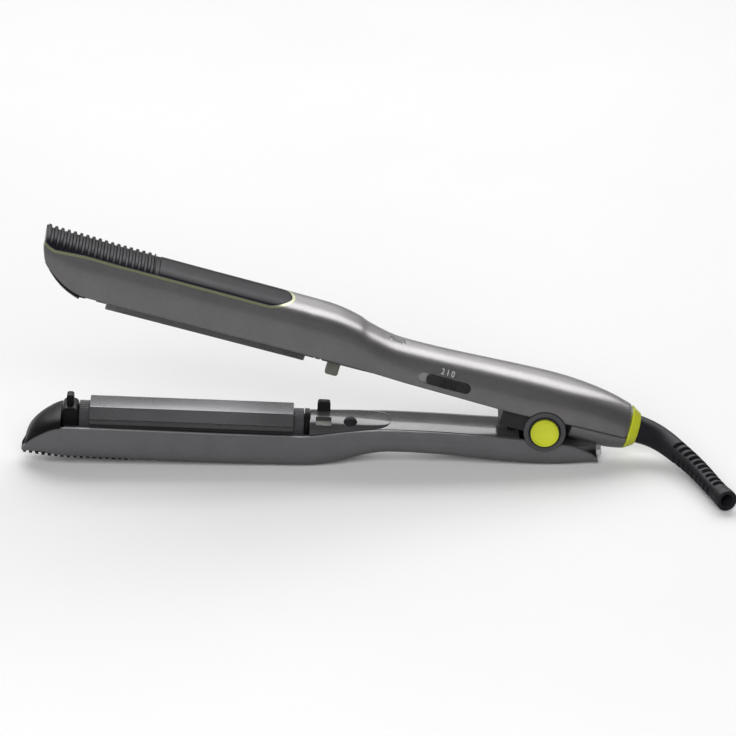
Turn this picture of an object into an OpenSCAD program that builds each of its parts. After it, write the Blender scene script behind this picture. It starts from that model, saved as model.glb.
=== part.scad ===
// Rotating hair crimper: two hinged arms, each with a heated barrel that has
// three faces (smooth, deep wave, fine crimp) and turns to bring one of them to the jaw.
// World frame: origin on the table under the hinge, +X to the cord, +Z up.
// Arm frame: origin on the hinge axis, X along the arm (negative to the nose), Z across the jaw.

/* [Stance] */
// Height of the hinge axis over the table
hinge_h = 21.3; // [20.8:0.1:22]
// Nose-up tilt of the lower arm, degrees
lower_tilt = 2.6; // [2.3:0.1:2.9]
// Angle between the arms at rest, degrees
open_angle = 13.4; // [11:0.1:14]

/* [Barrels] */
// Length of the heated barrel
barrel_len = 105; // [98:0.5:107]
// Distance from the hinge axis to the barrel's front end
barrel_front = 234; // [232:0.5:236]
// Distance from the barrel's axis to each of its faces
face_r = 8; // [7.4:0.1:8.3]
// Radius of the rounded corners between the faces, from the axis
corner_r = 11; // [10.5:0.1:11.2]
// Radius of the bore that takes the heater
heater_bore_r = 3.7; // [3:0.1:4.2]
// Height of the closing plane of the jaws over the hinge axis
jaw_z = 1; // [0.8:0.1:1.4]
// Gap between the two facing barrels when closed
jaw_gap = 0.3; // [0.2:0.1:0.6]
// Pitch of the deep wave face
wave_pitch = 5; // [4:0.5:6]
// Depth of the deep waves
wave_depth = 1.8; // [1:0.1:2.2]
// Pitch of the fine crimp face
crimp_pitch = 2.5; // [2:0.1:3]
// Depth of the fine crimps
crimp_depth = 0.9; // [0.5:0.1:1.2]

/* [Bearings] */
// Radius of the round collars at the barrel's ends
collar_r = 7.6; // [7:0.1:7.9]
// Length of each collar
collar_len = 5.4; // [4.5:0.1:6]
// Radius of the front journal
front_pin_r = 2.5; // [2:0.1:3]
// Radius of the hollow rear journal
rear_pin_r = 4; // [3.5:0.1:4.5]
// Radius of the lead hole through the rear journal
lead_hole_r = 1.8; // [1.4:0.1:2.2]
// Length of the front bearing block
front_bearing_len = 6.8; // [5:0.1:7.5]
// Thickness of the rear bearing plate
rear_bearing_len = 2.6; // [2:0.1:3]
// Width of the head of the front bearing block
bearing_head_w = 14; // [12:0.5:16]
// Height of the locating tab over the closing plane
nose_tab_h = 3.6; // [2.5:0.1:4.5]
// Radius of the round channel that the barrel turns in
channel_r = 11.8; // [11.6:0.1:12]
// Wall of the channel liner
liner_wall = 1.1; // [0.8:0.1:1.4]
// Radial play of a running journal
fit = 0.05; // [0.03:0.01:0.1]
// End play beside a turning piece
run_gap = 0.3; // [0.2:0.05:0.5]
// Gap between pieces that are fixed together
seat = 0.1; // [0.05:0.05:0.2]

/* [Shells] */
// Room between the liner and the sides of the shells
side_room = 1.3; // [0.8:0.1:1.6]
// Wall of the moulded shells
wall = 1.8; // [1.5:0.1:2.2]
// Depth of the recess for the grip pads
pad_recess = 1.8; // [1.5:0.1:2]
// Half width of the grip pads
pad_half_w = 12.5; // [9:0.1:12.8]
// Distance from the hinge axis to the rounded inner end of the pads
pad_end = 143; // [141:0.5:146]
// Pitch of the ribs near the pads' tips
rib_pitch = 3.3; // [3:0.05:3.5]
// Number of ribs on each pad
rib_count = 18; // [12:1:18]
// Depth of the grooves between the ribs
rib_h = 0.9; // [0.5:0.1:1]
// Thickness of the inner covers
cover_t = 1.8; // [1.4:0.1:2.2]

/* [Hinge] */
// Radius of the hinge pin
hinge_pin_r = 2.5; // [2:0.1:3]
// Radius of the round cheeks of the hinge
cheek_r = 10.8; // [10:0.1:11]
// Inner distance between the cheeks
cheek_gap = 25; // [24:0.2:25.6]
// Outer face of each cheek from the middle plane
cheek_out = 16.6; // [16.4:0.1:17]
// Radius of the knuckles of the lower arm
knuckle_r = 8.4; // [7.5:0.1:9]
// Radius of the domed hinge caps
cap_r = 7.3; // [6.5:0.1:7.8]
// Height of the domes of the hinge caps
cap_h = 1.9; // [1.2:0.1:2.4]
// Radius of the wire of the hinge spring
spring_wire_r = 0.7; // [0.5:0.05:0.8]
// Radius of the coil of the hinge spring, at the middle of the wire
spring_r = 4; // [3.8:0.1:5]

/* [Controls] */
// Distance from the hinge axis to the middle of the slider slot
slot_at = 57; // [54:0.5:60]
// Height of the slot's middle over the hinge axis
slot_z = 12.3; // [11.5:0.1:13]
// Length of the slider slot
slot_len = 28; // [26:0.5:30]
// Width of the slider slot
slot_w = 5.6; // [5:0.1:6.2]
// Travel of the temperature slider
slide_travel = 4.2; // [3.5:0.1:4.6]
// Distance from the hinge axis to the indicator window
window_at = 86; // [85:0.5:88]
// Length of the indicator window
window_len = 8; // [6:0.5:9]
// Width of the indicator window
window_w = 5; // [4:0.5:6]

/* [Cord outlet] */
// Distance from the hinge axis to the end of the upper shell
tail_end = 42.5; // [42:0.5:44]
// Height of the outlet's axis over the hinge axis
outlet_z = 7.9; // [7.5:0.1:8.3]
// Outer radius of the shell at the outlet
outlet_r = 11.6; // [11:0.1:12]
// Length of the tapered tail collar
tail_collar_len = 5.2; // [4.5:0.1:6]
// Radius of the strain relief where it leaves the collar
relief_r0 = 7.7; // [7.2:0.1:8]
// Radius of the strain relief at its thin end
relief_r1 = 5.1; // [4.8:0.1:5.4]
// Radius of the cord hole
cord_r = 3.3; // [3:0.1:3.5]

/* [Hidden] */

eps = 0.01;
fine = 96;
room = 40;
barrel_rear = barrel_front - barrel_len;
lower_axis_z = jaw_z - jaw_gap / 2 - face_r;
upper_axis_z = jaw_z + jaw_gap / 2 + face_r;
front_bearing_at = barrel_front + collar_len + run_gap;
nose_start = front_bearing_at + front_bearing_len;
rear_bearing_at = barrel_rear - collar_len - run_gap;
liner_rear = rear_bearing_at - rear_bearing_len;
liner_front = nose_start + seat;
half_w = channel_r + liner_wall + wall + side_room;

// Outlines of the arms as [distance from the hinge axis, value], along the arm
nose_tip = nose_start + 29;
upper_tip = nose_tip - 2.6;
lower_front = nose_tip - 6.5;
belly = barrel_rear - 4;
waist = 78;
tail_tip = 28.6;

// Height over the hinge axis of the shells' rims, creases and crowns
upper_rim_pts = [
    [upper_tip, 28], [upper_tip - 2.5, 21.2], [upper_tip - 6, 17.3], [upper_tip - 13, 12.4],
    [upper_tip - 19, 9.6], [upper_tip - 24, 8.2], [upper_tip - 29, 7.8], [belly, 7.8],
    [100, 7.4], [waist, 7.1], [50, 6.8], [27, 6.6], [10, 6.2], [-10, 6.3], [-tail_end, 6.4]
];
upper_crown_pts = [
    [upper_tip, 32.8], [upper_tip - 8, 32.4], [upper_tip - 20, 31.9], [upper_tip - 36, 31.1],
    [216, 30.8], [190, 30.5], [belly + 20, 30.3], [belly, 30.1],
    [belly - 8, 29.6], [belly - 14, 28.6], [belly - 20, 27.2], [102, 25.9], [96, 24.3],
    [90, 23], [85, 22.3], [waist, 22.1], [60, 22.4], [40, 23.2], [20, 24], [4, 24.4],
    [-10, 24.2], [-22, 23.5], [-32, 22.1], [-tail_end, outlet_z + outlet_r]
];
lower_rim_pts = [
    [nose_tip - 6.5, -25.5], [nose_tip - 10, -21.6], [nose_tip - 16, -16.2],
    [nose_tip - 23, -11], [nose_tip - 28, -8.4], [nose_tip - 33, -8.2], [180, -8.4],
    [belly, -8.4], [belly - 7, -8], [belly - 15, -6.8], [belly - 25, -5.5], [90, -4.5],
    [waist, -4.1], [54, -4.4], [34, -5.1], [14, -5.7], [0, -6.6], [-8, -7.6], [-15, -8.3],
    [-20, -9.6], [-25, -12.2], [-tail_tip, -15]
];
lower_bottom_pts = [
    [nose_tip - 6.5, -27], [220, -27.2], [180, -27.3], [147, -27.2], [belly, -27],
    [belly - 9, -26.3], [belly - 18, -24.7], [belly - 29, -21.3], [87, -19.1], [waist, -18.2],
    [54, -18.6], [34, -19.9], [14, -21.3], [0, -21.8], [-12, -21.4], [-20, -20.5],
    [-tail_tip, -19.2]
];
// Half width of both arms, seen from above
upper_width_pts = [
    [upper_tip, 8.6], [upper_tip - 2.5, 9.6], [upper_tip - 6, 11], [upper_tip - 13, 13.2],
    [upper_tip - 19, 14.8], [upper_tip - 26, half_w], [belly, half_w], [100, 15.2],
    [waist, 14.6], [40, 15.2], [10, 16.3], [-8, 16.2], [-25, 14.2], [-tail_end, outlet_r]
];
lower_width_pts = [
    [nose_tip - 6.5, 8], [nose_tip - 9, 9.8], [nose_tip - 14, 12], [nose_tip - 19, 14],
    [nose_tip - 25, 15.4], [nose_tip - 31, half_w], [belly, half_w], [100, 15.3],
    [waist, 14.8], [40, 15], [10, 15.4], [-8, 15.3], [-20, 14.2], [-tail_tip, 11.6]
];
// Squareness of the sections: 2 is an ellipse, more is boxier
square_pts = [
    [upper_tip, 3.2], [upper_tip - 30, 4], [belly, 4], [waist, 3], [0, 3], [-tail_end, 2.1]
];

// Smooth curve through points that run from the nose to the tail
function span(pts, u, i = 0) = i >= len(pts) - 2 || u >= pts[i + 1][0] ? i : span(pts, u, i + 1);
function slope(a, b) = (b[1] - a[1]) / (b[0] - a[0]);
function curve(pts, u) =
    let (
        i = span(pts, u), a = pts[i], b = pts[i + 1], last = len(pts) - 1,
        h = b[0] - a[0], t = min(1, max(0, (u - a[0]) / h)),
        ma = slope(pts[max(i - 1, 0)], b), mb = slope(a, pts[min(i + 2, last)])
    )
    (2 * t ^ 3 - 3 * t ^ 2 + 1) * a[1] + (t ^ 3 - 2 * t ^ 2 + t) * h * ma
    + (3 * t ^ 2 - 2 * t ^ 3) * b[1] + (t ^ 3 - t ^ 2) * h * mb;

// Half width of an arm: side is 1 on the upper arm, -1 on the lower
function arm_w(u, side) = curve(side > 0 ? upper_width_pts : lower_width_pts, u);
// Height of the table in the lower arm's frame
function table_z(u) = (-u * sin(lower_tilt) - hinge_h) / cos(lower_tilt);

// Solid through rings of equal length, given from the nose to the tail and clockwise seen from
// the nose. A trough's rings go along its outside and back along its inside.
module loft(rings, trough = false) {
    n = len(rings[0]);
    last = (len(rings) - 1) * n;
    sides = [
        for (i = [0:n:last - n], j = [0:n - 1])
            let (a = i + j, b = i + (j + 1) % n)
                each [[a, b + n, b], [a, a + n, b + n]]
    ];
    strip = [for (j = [0:n / 2 - 2]) each [[j, j + 1, n - 2 - j], [j, n - 2 - j, n - 1 - j]]];
    front = trough ? strip : [[for (j = [0:n - 1]) j]];
    back = [for (f = front) [for (k = [len(f) - 1:-1:0]) f[k] + last]];
    polyhedron(points = [for (r = rings) each r], faces = concat(front, back, sides), convexity = 8);
}

function mirror_y(half) = [for (i = [len(half) - 1:-1:0]) [-half[i][0], half[i][1]]];
function at(u, outline) = [for (p = outline) [-u, p[0], p[1]]];
function without_last(list) = [for (i = [0:len(list) - 2]) list[i]];

// Point of a squared ellipse of half width a and height b, at the angle t
function squared(a, b, n, t) =
    let (r = ((abs(cos(t)) / a) ^ n + (abs(sin(t)) / b) ^ n) ^ (-1 / n)) [r * cos(t), r * sin(t)];
// Angle at which that ellipse has the half width y
function squared_angle(a, b, n, y) = atan2(b * (1 - min(1, y / a) ^ n) ^ (1 / n), y);

// Half width of the pad's recess along the arm, round at its inner end
function pad_y(u, tip_w) =
    let (past = pad_end + pad_half_w - u)
    min(tip_w * 0.8, pad_half_w) * sqrt(max(0.02, 1 - (max(0, past) / pad_half_w) ^ 2));
function has_pad(u) = u > pad_end;

// Share by which a shell's rim leans inward above its crease
rim_lean = 0.3;
// One side of a shell's section, from the rim to the middle: side is 1 on the upper arm, -1 below.
// A rim that lies beyond the crease trims the section there.
function shell_half(w, rim, crease, height, n, side, pad_w, recess) =
    let (
        trim = max(0, side * (rim - crease)),
        start = atan2(trim, w * (1 - (trim / height) ^ n) ^ (1 / n)),
        edge = squared_angle(w, height, n, pad_w), foot = squared(w, height, n, start),
        lean = trim > 0 ? 0.1 : abs(crease - rim)
    )
    concat(
        [[foot[0] - lean * rim_lean, crease + side * (trim - lean)]],
        [
            for (i = [0:4])
                let (p = squared(w, height, n, start + (edge - start) * i / 4))
                [p[0], crease + side * p[1]]
        ],
        [for (y = [pad_w * (recess > 0 ? 0.985 : 0.8), pad_w * 0.5, 0])
            [y, crease + side * (height * (1 - (y / w) ^ n) ^ (1 / n) - recess)]]
    );
function whole(half) = concat(half, mirror_y(without_last(half)));
function backward(list) = [for (i = [len(list) - 1:-1:0]) list[i]];

// Depth of the hollow under the crease, closed at both ends of the shell
function hollow_depth(u, side, height) =
    let (fade = side > 0 ? end_fade(u, upper_tip, -tail_end) : end_fade(u, lower_front, -tail_tip))
    max(0.4, (height - wall - pad_recess) * fade);
// Height between a shell's rim and its crease
function crease_drop(u, side, rim, crown) =
    side > 0 ? min(1, (crown - rim) * 0.2) : min(4.4, (rim - crown) * 0.3, lower_band(u));
// Ring of a shell at the distance u: rim and crown are heights
function shell_ring(u, side, w, rim, crown) =
    let (
        low = cover_z(u, side), crease = low + side * crease_drop(u, side, low, crown),
        n = curve(square_pts, u), pad_w = pad_y(u, w),
        height = abs(crown - crease), hollow = hollow_depth(u, side, height),
        outer = whole(shell_half(w, rim, crease, height, n, side, pad_w, has_pad(u) ? pad_recess : 0)),
        inner = whole(shell_half(w - wall, rim, crease, hollow, n, side, (w - wall) * 0.4, 0)),
        ring = concat(outer, backward(inner))
    )
    at(u, side > 0 ? ring : concat(backward(outer), inner));

// The rims dip round the cheeks of the hinge
function notch(u) = abs(u) < cheek_r + run_gap ? sqrt((cheek_r + run_gap) ^ 2 - u ^ 2) : 0;
function upper_rim(u) = max(curve(upper_rim_pts, u), notch(u));
function lower_rim(u) = min(curve(lower_rim_pts, u), -notch(u));
function upper_ring(u) = shell_ring(u, 1, arm_w(u, 1), upper_rim(u), curve(upper_crown_pts, u));
function lower_ring(u) = [
    for (p = shell_ring(u, -1, arm_w(u, -1), lower_rim(u), curve(lower_bottom_pts, u)))
        [p[0], p[1], max(p[2], table_z(u))]
];

// Height of the light band under the lower rim
lower_band_pts = [
    [nose_tip, 0.6], [200, 1.1], [belly, 1.1], [95, 4], [20, 3.6], [-10, 1.2], [-tail_tip, 0.3]
];
function lower_band(u) = curve(lower_band_pts, u);
// Fades the hollow out at the closed ends of a shell
function end_fade(u, front, back) =
    min(1, max(0, (front - u - wall) / 4), max(0, (u - back - wall) / 3));

function steps(from, to, count) = [for (i = [0:count - 1]) from + (to - from) * i / count];
pad_front = pad_end + pad_half_w + 1;
pad_stations = [for (d = [1, 0.66, 0.36, 0.13, 0.002, -0.002]) pad_end + d * pad_half_w];
notch_stations = [for (t = [0:20:180]) (cheek_r + run_gap) * cos(t)];
upper_stations = concat(
    [upper_tip, upper_tip - 0.9, upper_tip - 2, upper_tip - 3.5, upper_tip - 6, upper_tip - 9],
    steps(upper_tip - 13, upper_tip - 30, 4), steps(upper_tip - 30, pad_front, 3), pad_stations,
    steps(pad_end - 6, belly - 4, 2), steps(belly - 4, waist + 6, 9), steps(waist + 6, 14, 4),
    notch_stations,
    [-14, -20, -26, -32, -36, -38, -tail_end + 2, -tail_end]
);
lower_stations = concat(
    [lower_front, lower_front - 0.9, lower_front - 2, lower_front - 3.8],
    steps(lower_front - 6, lower_front - 24, 6), steps(lower_front - 24, pad_front, 3), pad_stations,
    steps(pad_end - 4, belly - 2, 2), steps(belly - 2, waist + 6, 9), steps(waist + 6, 14, 4),
    notch_stations,
    [-13, -16, -19, -22, -24.5, -26.5, -tail_tip]
);

module place_lower() { translate([0, 0, hinge_h]) rotate([0, lower_tilt, 0]) children(); }
module place_upper() { translate([0, 0, hinge_h]) rotate([0, lower_tilt + open_angle, 0]) children(); }
// Cylinder along the arm: from and to are distances from the hinge axis, nose side first
module rod(from, to, r) {
    translate([-from, 0, 0]) rotate([0, 90, 0]) cylinder(r = r, h = from - to, $fn = fine);
}
// Cylinder across the arm
module cross_rod(y0, y1, r) {
    translate([0, y0, 0]) rotate([-90, 0, 0]) cylinder(r = r, h = y1 - y0, $fn = fine);
}
// Box between two corners
module span_box(a, b) { translate(a) cube(b - a); }
// What lies beyond the height z, away from the jaw, between two distances from the hinge axis
module beyond(from, to, z, side) {
    span_box([-from, -room, side > 0 ? z : z - room], [-to, room, side > 0 ? z + room : z]);
}

// Barrel
face_half = sqrt(corner_r ^ 2 - face_r ^ 2);
// Points of one face, wavy when it has a depth
function face_points(turn, pitch, depth) =
    let (
        half = face_r * tan(60),
        count = depth > 0 ? round(2 * face_half / pitch) : 0,
        p = count > 0 ? 2 * face_half / count : 1
    )
    [for (q = concat(
            [[-half, 0]],
            [for (i = [0:count * 4]) if (count > 0) [-face_half + i * p / 4, depth * wave_at(i)]],
            [[half, 0]]
        ))
        let (r = face_r - q[1]) [r * cos(turn) - q[0] * sin(turn), r * sin(turn) + q[0] * cos(turn)]];
function wave_at(i) = (1 - cos(90 * i)) / 2;
module barrel_section() {
    difference() {
        intersection() {
            circle(r = corner_r, $fn = fine);
            polygon(concat(
                face_points(180, 1, 0),
                face_points(300, wave_pitch, wave_depth),
                face_points(60, crimp_pitch, crimp_depth)
            ));
        }
        circle(r = heater_bore_r, $fn = fine);
    }
}
// The section's first face looks to the other jaw
module barrel(axis_z, look) {
    translate([-barrel_front, 0, axis_z]) rotate([0, look > 0 ? -90 : 90, 0])
        translate([0, 0, look > 0 ? -barrel_len : 0]) linear_extrude(barrel_len) barrel_section();
}
module heater(axis_z) {
    translate([0, 0, axis_z]) rod(barrel_front - 1, barrel_rear + 1, heater_bore_r - seat);
}
module front_collar(axis_z) {
    translate([0, 0, axis_z]) {
        rod(barrel_front + collar_len, barrel_front, collar_r);
        rod(nose_start - 1, barrel_front + collar_len - eps, front_pin_r);
    }
}
module rear_collar(axis_z) {
    translate([0, 0, axis_z]) difference() {
        union() {
            rod(barrel_rear, barrel_rear - collar_len, collar_r);
            rod(barrel_rear - collar_len + eps, liner_rear + seat, rear_pin_r);
        }
        rod(barrel_rear + 1, liner_rear - 3, lead_hole_r);
    }
}

// Fixed pieces that both arms have: side is 1 on the upper arm, -1 on the lower
flange_t = 1.2;
flange_half = half_w - wall - 8 * seat;
function rim_drop(side) = side > 0 ? 7.8 + seat : -8.4 - seat;
module liner(axis_z, side) {
    flange_z = rim_drop(side);
    difference() {
        union() {
            intersection() {
                translate([0, 0, axis_z]) rod(liner_front, liner_rear, channel_r + liner_wall);
                beyond(liner_front + 1, liner_rear - 1, flange_z, side);
            }
            span_box(
                [-liner_front, -flange_half, side > 0 ? flange_z : flange_z - flange_t],
                [-liner_rear, flange_half, side > 0 ? flange_z + flange_t : flange_z]
            );
        }
        translate([0, 0, axis_z]) rod(liner_front + 1, liner_rear - 1, channel_r);
    }
}
module front_bearing(axis_z, side) {
    head_z = jaw_z + side * (jaw_gap / 2 + seat);
    flat_z = rim_drop(side);
    difference() {
        union() {
            intersection() {
                translate([0, 0, axis_z]) rod(nose_start, front_bearing_at, channel_r - seat);
                beyond(nose_start + 1, front_bearing_at - 1, flat_z, side);
            }
            span_box(
                [-nose_start, -bearing_head_w / 2, min(head_z, flat_z)],
                [-front_bearing_at, bearing_head_w / 2, max(head_z, flat_z)]
            );
        }
        translate([0, 0, axis_z]) rod(nose_start + 1, front_bearing_at - 1, front_pin_r + fit);
    }
}
rear_bearing_top = 2.6;
module rear_bearing(axis_z, side) {
    difference() {
        intersection() {
            translate([0, 0, axis_z]) rod(rear_bearing_at, liner_rear, channel_r - seat);
            beyond(rear_bearing_at + 1, liner_rear - 1, jaw_z + side * rear_bearing_top, side);
        }
        translate([0, 0, axis_z]) rod(rear_bearing_at + 1, liner_rear - 1, rear_pin_r + fit);
    }
}

// Inner cover of the handle, slightly crowned toward the other arm
cover_crown = 0.7;
function cover_z(u, side) = side > 0 ? curve(upper_rim_pts, u) : curve(lower_rim_pts, u);
function cover_w(u, side) = arm_w(u, side) - wall - 2 * seat - rim_lean * rim_drop_at(u, side);
function rim_drop_at(u, side) =
    crease_drop(u, side, cover_z(u, side), curve(side > 0 ? upper_crown_pts : lower_bottom_pts, u));
cover_front = liner_rear - seat;
function cover_ring(u, side) =
    let (
        w = cover_w(u, side), z = cover_z(u, side),
        face = [for (t = [1:-0.4:-1]) [t * w, z - side * cover_crown * (1 - t ^ 2)]],
        back = [for (t = [-1:0.4:1]) [t * w, z + side * (cover_t - cover_crown * (1 - t ^ 2))]]
    )
    at(u, side > 0 ? concat(backward(back), backward(face)) : concat(face, back));
module inner_cover(side, rear) {
    stations = concat(steps(cover_front, tongue_end + 5, 8), steps(tongue_end + 5, rear, 6), [rear]);
    loft([for (u = stations) cover_ring(u, side)], trough = true);
}

// Rounded tongue that covers the rear bearing and the leads
tongue_len = 41;
tongue_end = cover_front - tongue_len;
tongue_w_pts = [
    [cover_front, 12.4], [cover_front - 20.6, 12], [tongue_end + 12.4, 11], [tongue_end + 7.4, 9],
    [tongue_end + 3.4, 6.4], [tongue_end, 1.2]
];
tongue_face_pts = [
    [cover_front, 2.9], [cover_front - 20.6, 3], [tongue_end + 10.4, 3.3], [tongue_end + 4.4, 4.2],
    [tongue_end, 5.4]
];
function tongue_w(u) = curve(tongue_w_pts, u);
tongue_least = 0.5;
function tongue_face(u, side) =
    min(curve(tongue_face_pts, u), side * (tongue_base(u, 0, side) - jaw_z) - tongue_least);
function tongue_ring(u, side) =
    let (
        w = tongue_w(u), face_z = jaw_z + side * tongue_face(u, side),
        top = [for (p = [[1, 0], [0.93, 0.55], [0.75, 0.86], [0.4, 1], [0, 1.05]])
            let (base = tongue_base(u, p[0] * w, side)) [p[0] * w, base + (face_z - base) * p[1]]],
        bottom = [for (t = [-0.9, -0.45, 0, 0.45, 0.9]) [t * w, tongue_base(u, t * w, side)]],
        over = concat(top, mirror_y(without_last(top)))
    )
    at(u, side < 0 ? concat(over, bottom) : concat(backward(bottom), backward(over)));
function tongue_base(u, y, side) =
    cover_z(u, side) - side * (cover_crown * (1 - (y / cover_w(u, side)) ^ 2) + seat);
module tongue(side) {
    stations = concat(
        steps(cover_front, tongue_end + 14.4, 5), steps(tongue_end + 14.4, tongue_end + 2.4, 5),
        [tongue_end + 2.4, tongue_end + 0.9, tongue_end]
    );
    loft([for (u = stations) tongue_ring(u, side)], trough = true);
}

// Mating guide tabs and pockets between the arms, behind the barrels
tab_at = cover_front - 7.1;
tab_len = 6.8;
tab_foot = 2;
tab_r = 1.4;
tab_t = 3;
tab_over = 2;
upper_tab_over = 3.4;
tab_y = 5.2;
function tab_y0(side) = side < 0 ? tab_y : -tab_y - tab_t;
module tab(side, over) {
    top = jaw_z - side * over;
    foot = jaw_z + side * (tongue_face(tab_at, side) + tab_foot);
    round_z = top + side * tab_r;
    translate([-tab_at, tab_y0(side), 0]) rotate([-90, 0, 0]) linear_extrude(tab_t) {
        translate([-tab_len / 2, -max(round_z, foot)]) square([tab_len, abs(round_z - foot)]);
        translate([-tab_len / 2 + tab_r, -max(top, foot)])
            square([tab_len - 2 * tab_r, abs(top - foot)]);
        for (x = [-1, 1]) translate([x * (tab_len / 2 - tab_r), -round_z])
            circle(r = tab_r, $fn = fine);
    }
}
// Socket in the tongue for the foot of its own tab
module tab_socket(side) {
    foot = jaw_z + side * (tongue_face(tab_at, side) + tab_foot + seat);
    y0 = tab_y0(side) - seat;
    span_box(
        [-tab_at - tab_len / 2 - seat, y0, min(foot, foot - side * 9)],
        [-tab_at + tab_len / 2 + seat, y0 + tab_t + 2 * seat, max(foot, foot - side * 9)]
    );
}
// Room for a tab, seen from the other arm, with play all round
module tab_room(side, over, play) {
    top = jaw_z - side * (over + 1.2);
    y0 = tab_y0(side) - play;
    span_box(
        [-tab_at - tab_len / 2 - play, y0, min(top, jaw_z + side * room)],
        [-tab_at + tab_len / 2 + play, y0 + tab_t + 2 * play, max(top, jaw_z + side * room)]
    );
}

// Lower arm
module lower_shell() color("#6a6a6e") place_lower() difference() {
    loft([for (u = lower_stations) lower_ring(u)], trough = true);
    span_box(
        [lock_x0 - lock_travel - run_gap, -lock_w / 2 - seat, lock_z0 - seat],
        [room, lock_w / 2 + seat, 0]
    );
}
module lower_liner() color("#2c2c30") place_lower() liner(lower_axis_z, -1);
module lower_inner_cover() color("#3a3a40") place_lower() difference() {
    inner_cover(-1, 12.6);
    lead_notch();
    translate([-screw_at, 0, -room]) cylinder(r = screw_r + seat, h = room, $fn = fine);
}

// Nose cap inside the front of a shell, with its face flush with the shell's edge
lower_cap_pts = [
    [nose_tip - 7.8, -22.6], [nose_tip - 10, -15.6], [nose_tip - 13, -11.4], [nose_tip - 17, -8.1],
    [nose_tip - 21, -5.8], [nose_tip - 25, -3.8], [nose_start, -2.6]
];
upper_cap_pts = [
    [upper_tip - 2, 21.6], [upper_tip - 3.4, 19.4], [upper_tip - 7, 14.6], [upper_tip - 12, 9.6],
    [upper_tip - 17, 6.4], [upper_tip - 23, 4], [nose_start, 3]
];
function cap_ring(u, side) =
    let (
        w = arm_w(u, side), rim = cover_z(u, side),
        top = curve(side > 0 ? upper_cap_pts : lower_cap_pts, u),
        rise = max(0.6, abs(top - rim)),
        in_w = cover_w(u, side) - 3 * seat, drop = rim_drop_at(u, side),
        crown = curve(side > 0 ? upper_crown_pts : lower_bottom_pts, u),
        lip_t = min(2, drop + 0.5 * hollow_depth(u, side, abs(crown - rim) - drop)),
        face = [
            for (t = [0:15:180])
                let (p = squared(w - 0.4, rise, 2.3, t)) [p[0], rim - side * (p[1] + seat)]
        ],
        lip_z = rim + side * 2 * seat,
        floor_z = rim + side * lip_t,
        lip = [[-in_w, lip_z], [-in_w + 0.2, floor_z], [in_w - 0.2, floor_z], [in_w, lip_z]]
    )
    at(u, side < 0
        ? concat(face, lip)
        : concat(backward(lip), backward(face)));
module nose_cap(side) {
    front = side > 0 ? upper_tip - 3 : lower_front - 2.1;
    back = nose_start + seat;
    stations = concat([front, front - 0.8], steps(front - 2, back, 9), [back]);
    loft([for (u = stations) cap_ring(u, side)]);
}
module lower_nose_cap() color("#1c1c20") place_lower() nose_cap(-1);

// Ribbed grip pad in the recess at the back of the nose
pad_gap = 0.15;
function pad_ring(u, side, rib) =
    let (
        w = arm_w(u, side), rim = cover_z(u, side), n = curve(square_pts, u),
        crown = curve(side > 0 ? upper_crown_pts : lower_bottom_pts, u),
        crease = rim + side * crease_drop(u, side, rim, crown),
        b = abs(crown - crease), y1 = pad_y(u, w) - pad_gap,
        z = function (y) crease + side * b * (1 - (y / w) ^ n) ^ (1 / n),
        ys = [y1, y1 / 2, 0, -y1 / 2, -y1],
        outer = [for (y = ys) [y, z(abs(y)) + side * (abs(y) == y1 ? 0 : rib)]],
        inner = [for (y = ys) [y, z(abs(y)) - side * (pad_recess - 3 * seat)]]
    )
    at(u, side > 0 ? concat(outer, backward(inner)) : concat(backward(outer), inner));
rib_first = 1.4;
rib_foot = 1.05;
rib_top = 0.75;
module grip_pad(side, front) {
    profile = [[rib_foot, -rib_h], [rib_top, 0], [-rib_top, 0], [-rib_foot, -rib_h]];
    ribs = [
        for (i = [0:rib_count - 1], q = profile) [front - rib_first - i * rib_pitch + q[0], q[1]]
    ];
    plain_from = ribs[len(ribs) - 1][0] - rib_foot + rib_top;
    plain = concat(
        steps(plain_from, pad_front, 4),
        [for (d = [1, 0.66, 0.36, 0.13, 0.03]) pad_end + d * pad_half_w]
    );
    sections = concat([[front, -rib_h]], ribs, [for (u = plain) [u, 0]]);
    loft([for (q = sections) pad_ring(q[0], side, q[1])], trough = true);
}
module lower_grip_pad() color("#26262a") place_lower() grip_pad(-1, lower_front - 3 * seat);

module lower_front_bearing() color("#3c3c42") place_lower() {
    front_bearing(lower_axis_z, -1);
    nose_tab();
}
nose_tab_x = [nose_start - 0.4, nose_start - 4.2];
nose_tab_w = 6;
nose_tab_r = 1.2;
module nose_tab() {
    r = nose_tab_r;
    x0 = -nose_tab_x[0];
    x1 = -nose_tab_x[1];
    top = jaw_z + nose_tab_h;
    translate([0, nose_tab_w / 2, 0]) rotate([90, 0, 0]) linear_extrude(nose_tab_w) {
        translate([x0, jaw_z - r]) square([x1 - x0, nose_tab_h]);
        translate([x0 + r, jaw_z]) square([x1 - x0 - 2 * r, nose_tab_h]);
        for (x = [x0 + r, x1 - r]) translate([x, top - r]) circle(r = r, $fn = fine);
    }
}
module lower_rear_bearing() color("#222226") place_lower() rear_bearing(lower_axis_z, -1);
module lower_bearing_cover() color("#2a2a30") place_lower() difference() {
    tongue(-1);
    tab_socket(-1);
    tab_room(1, upper_tab_over, 2 * run_gap);
    lead_tunnel(lower_axis_z);
    bumper_place() translate([0, 0, -seat]) cylinder(r = bumper_r + seat, h = 9, $fn = fine);
}
module lower_guide_tab() color("#242428") place_lower() tab(-1, tab_over);

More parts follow.
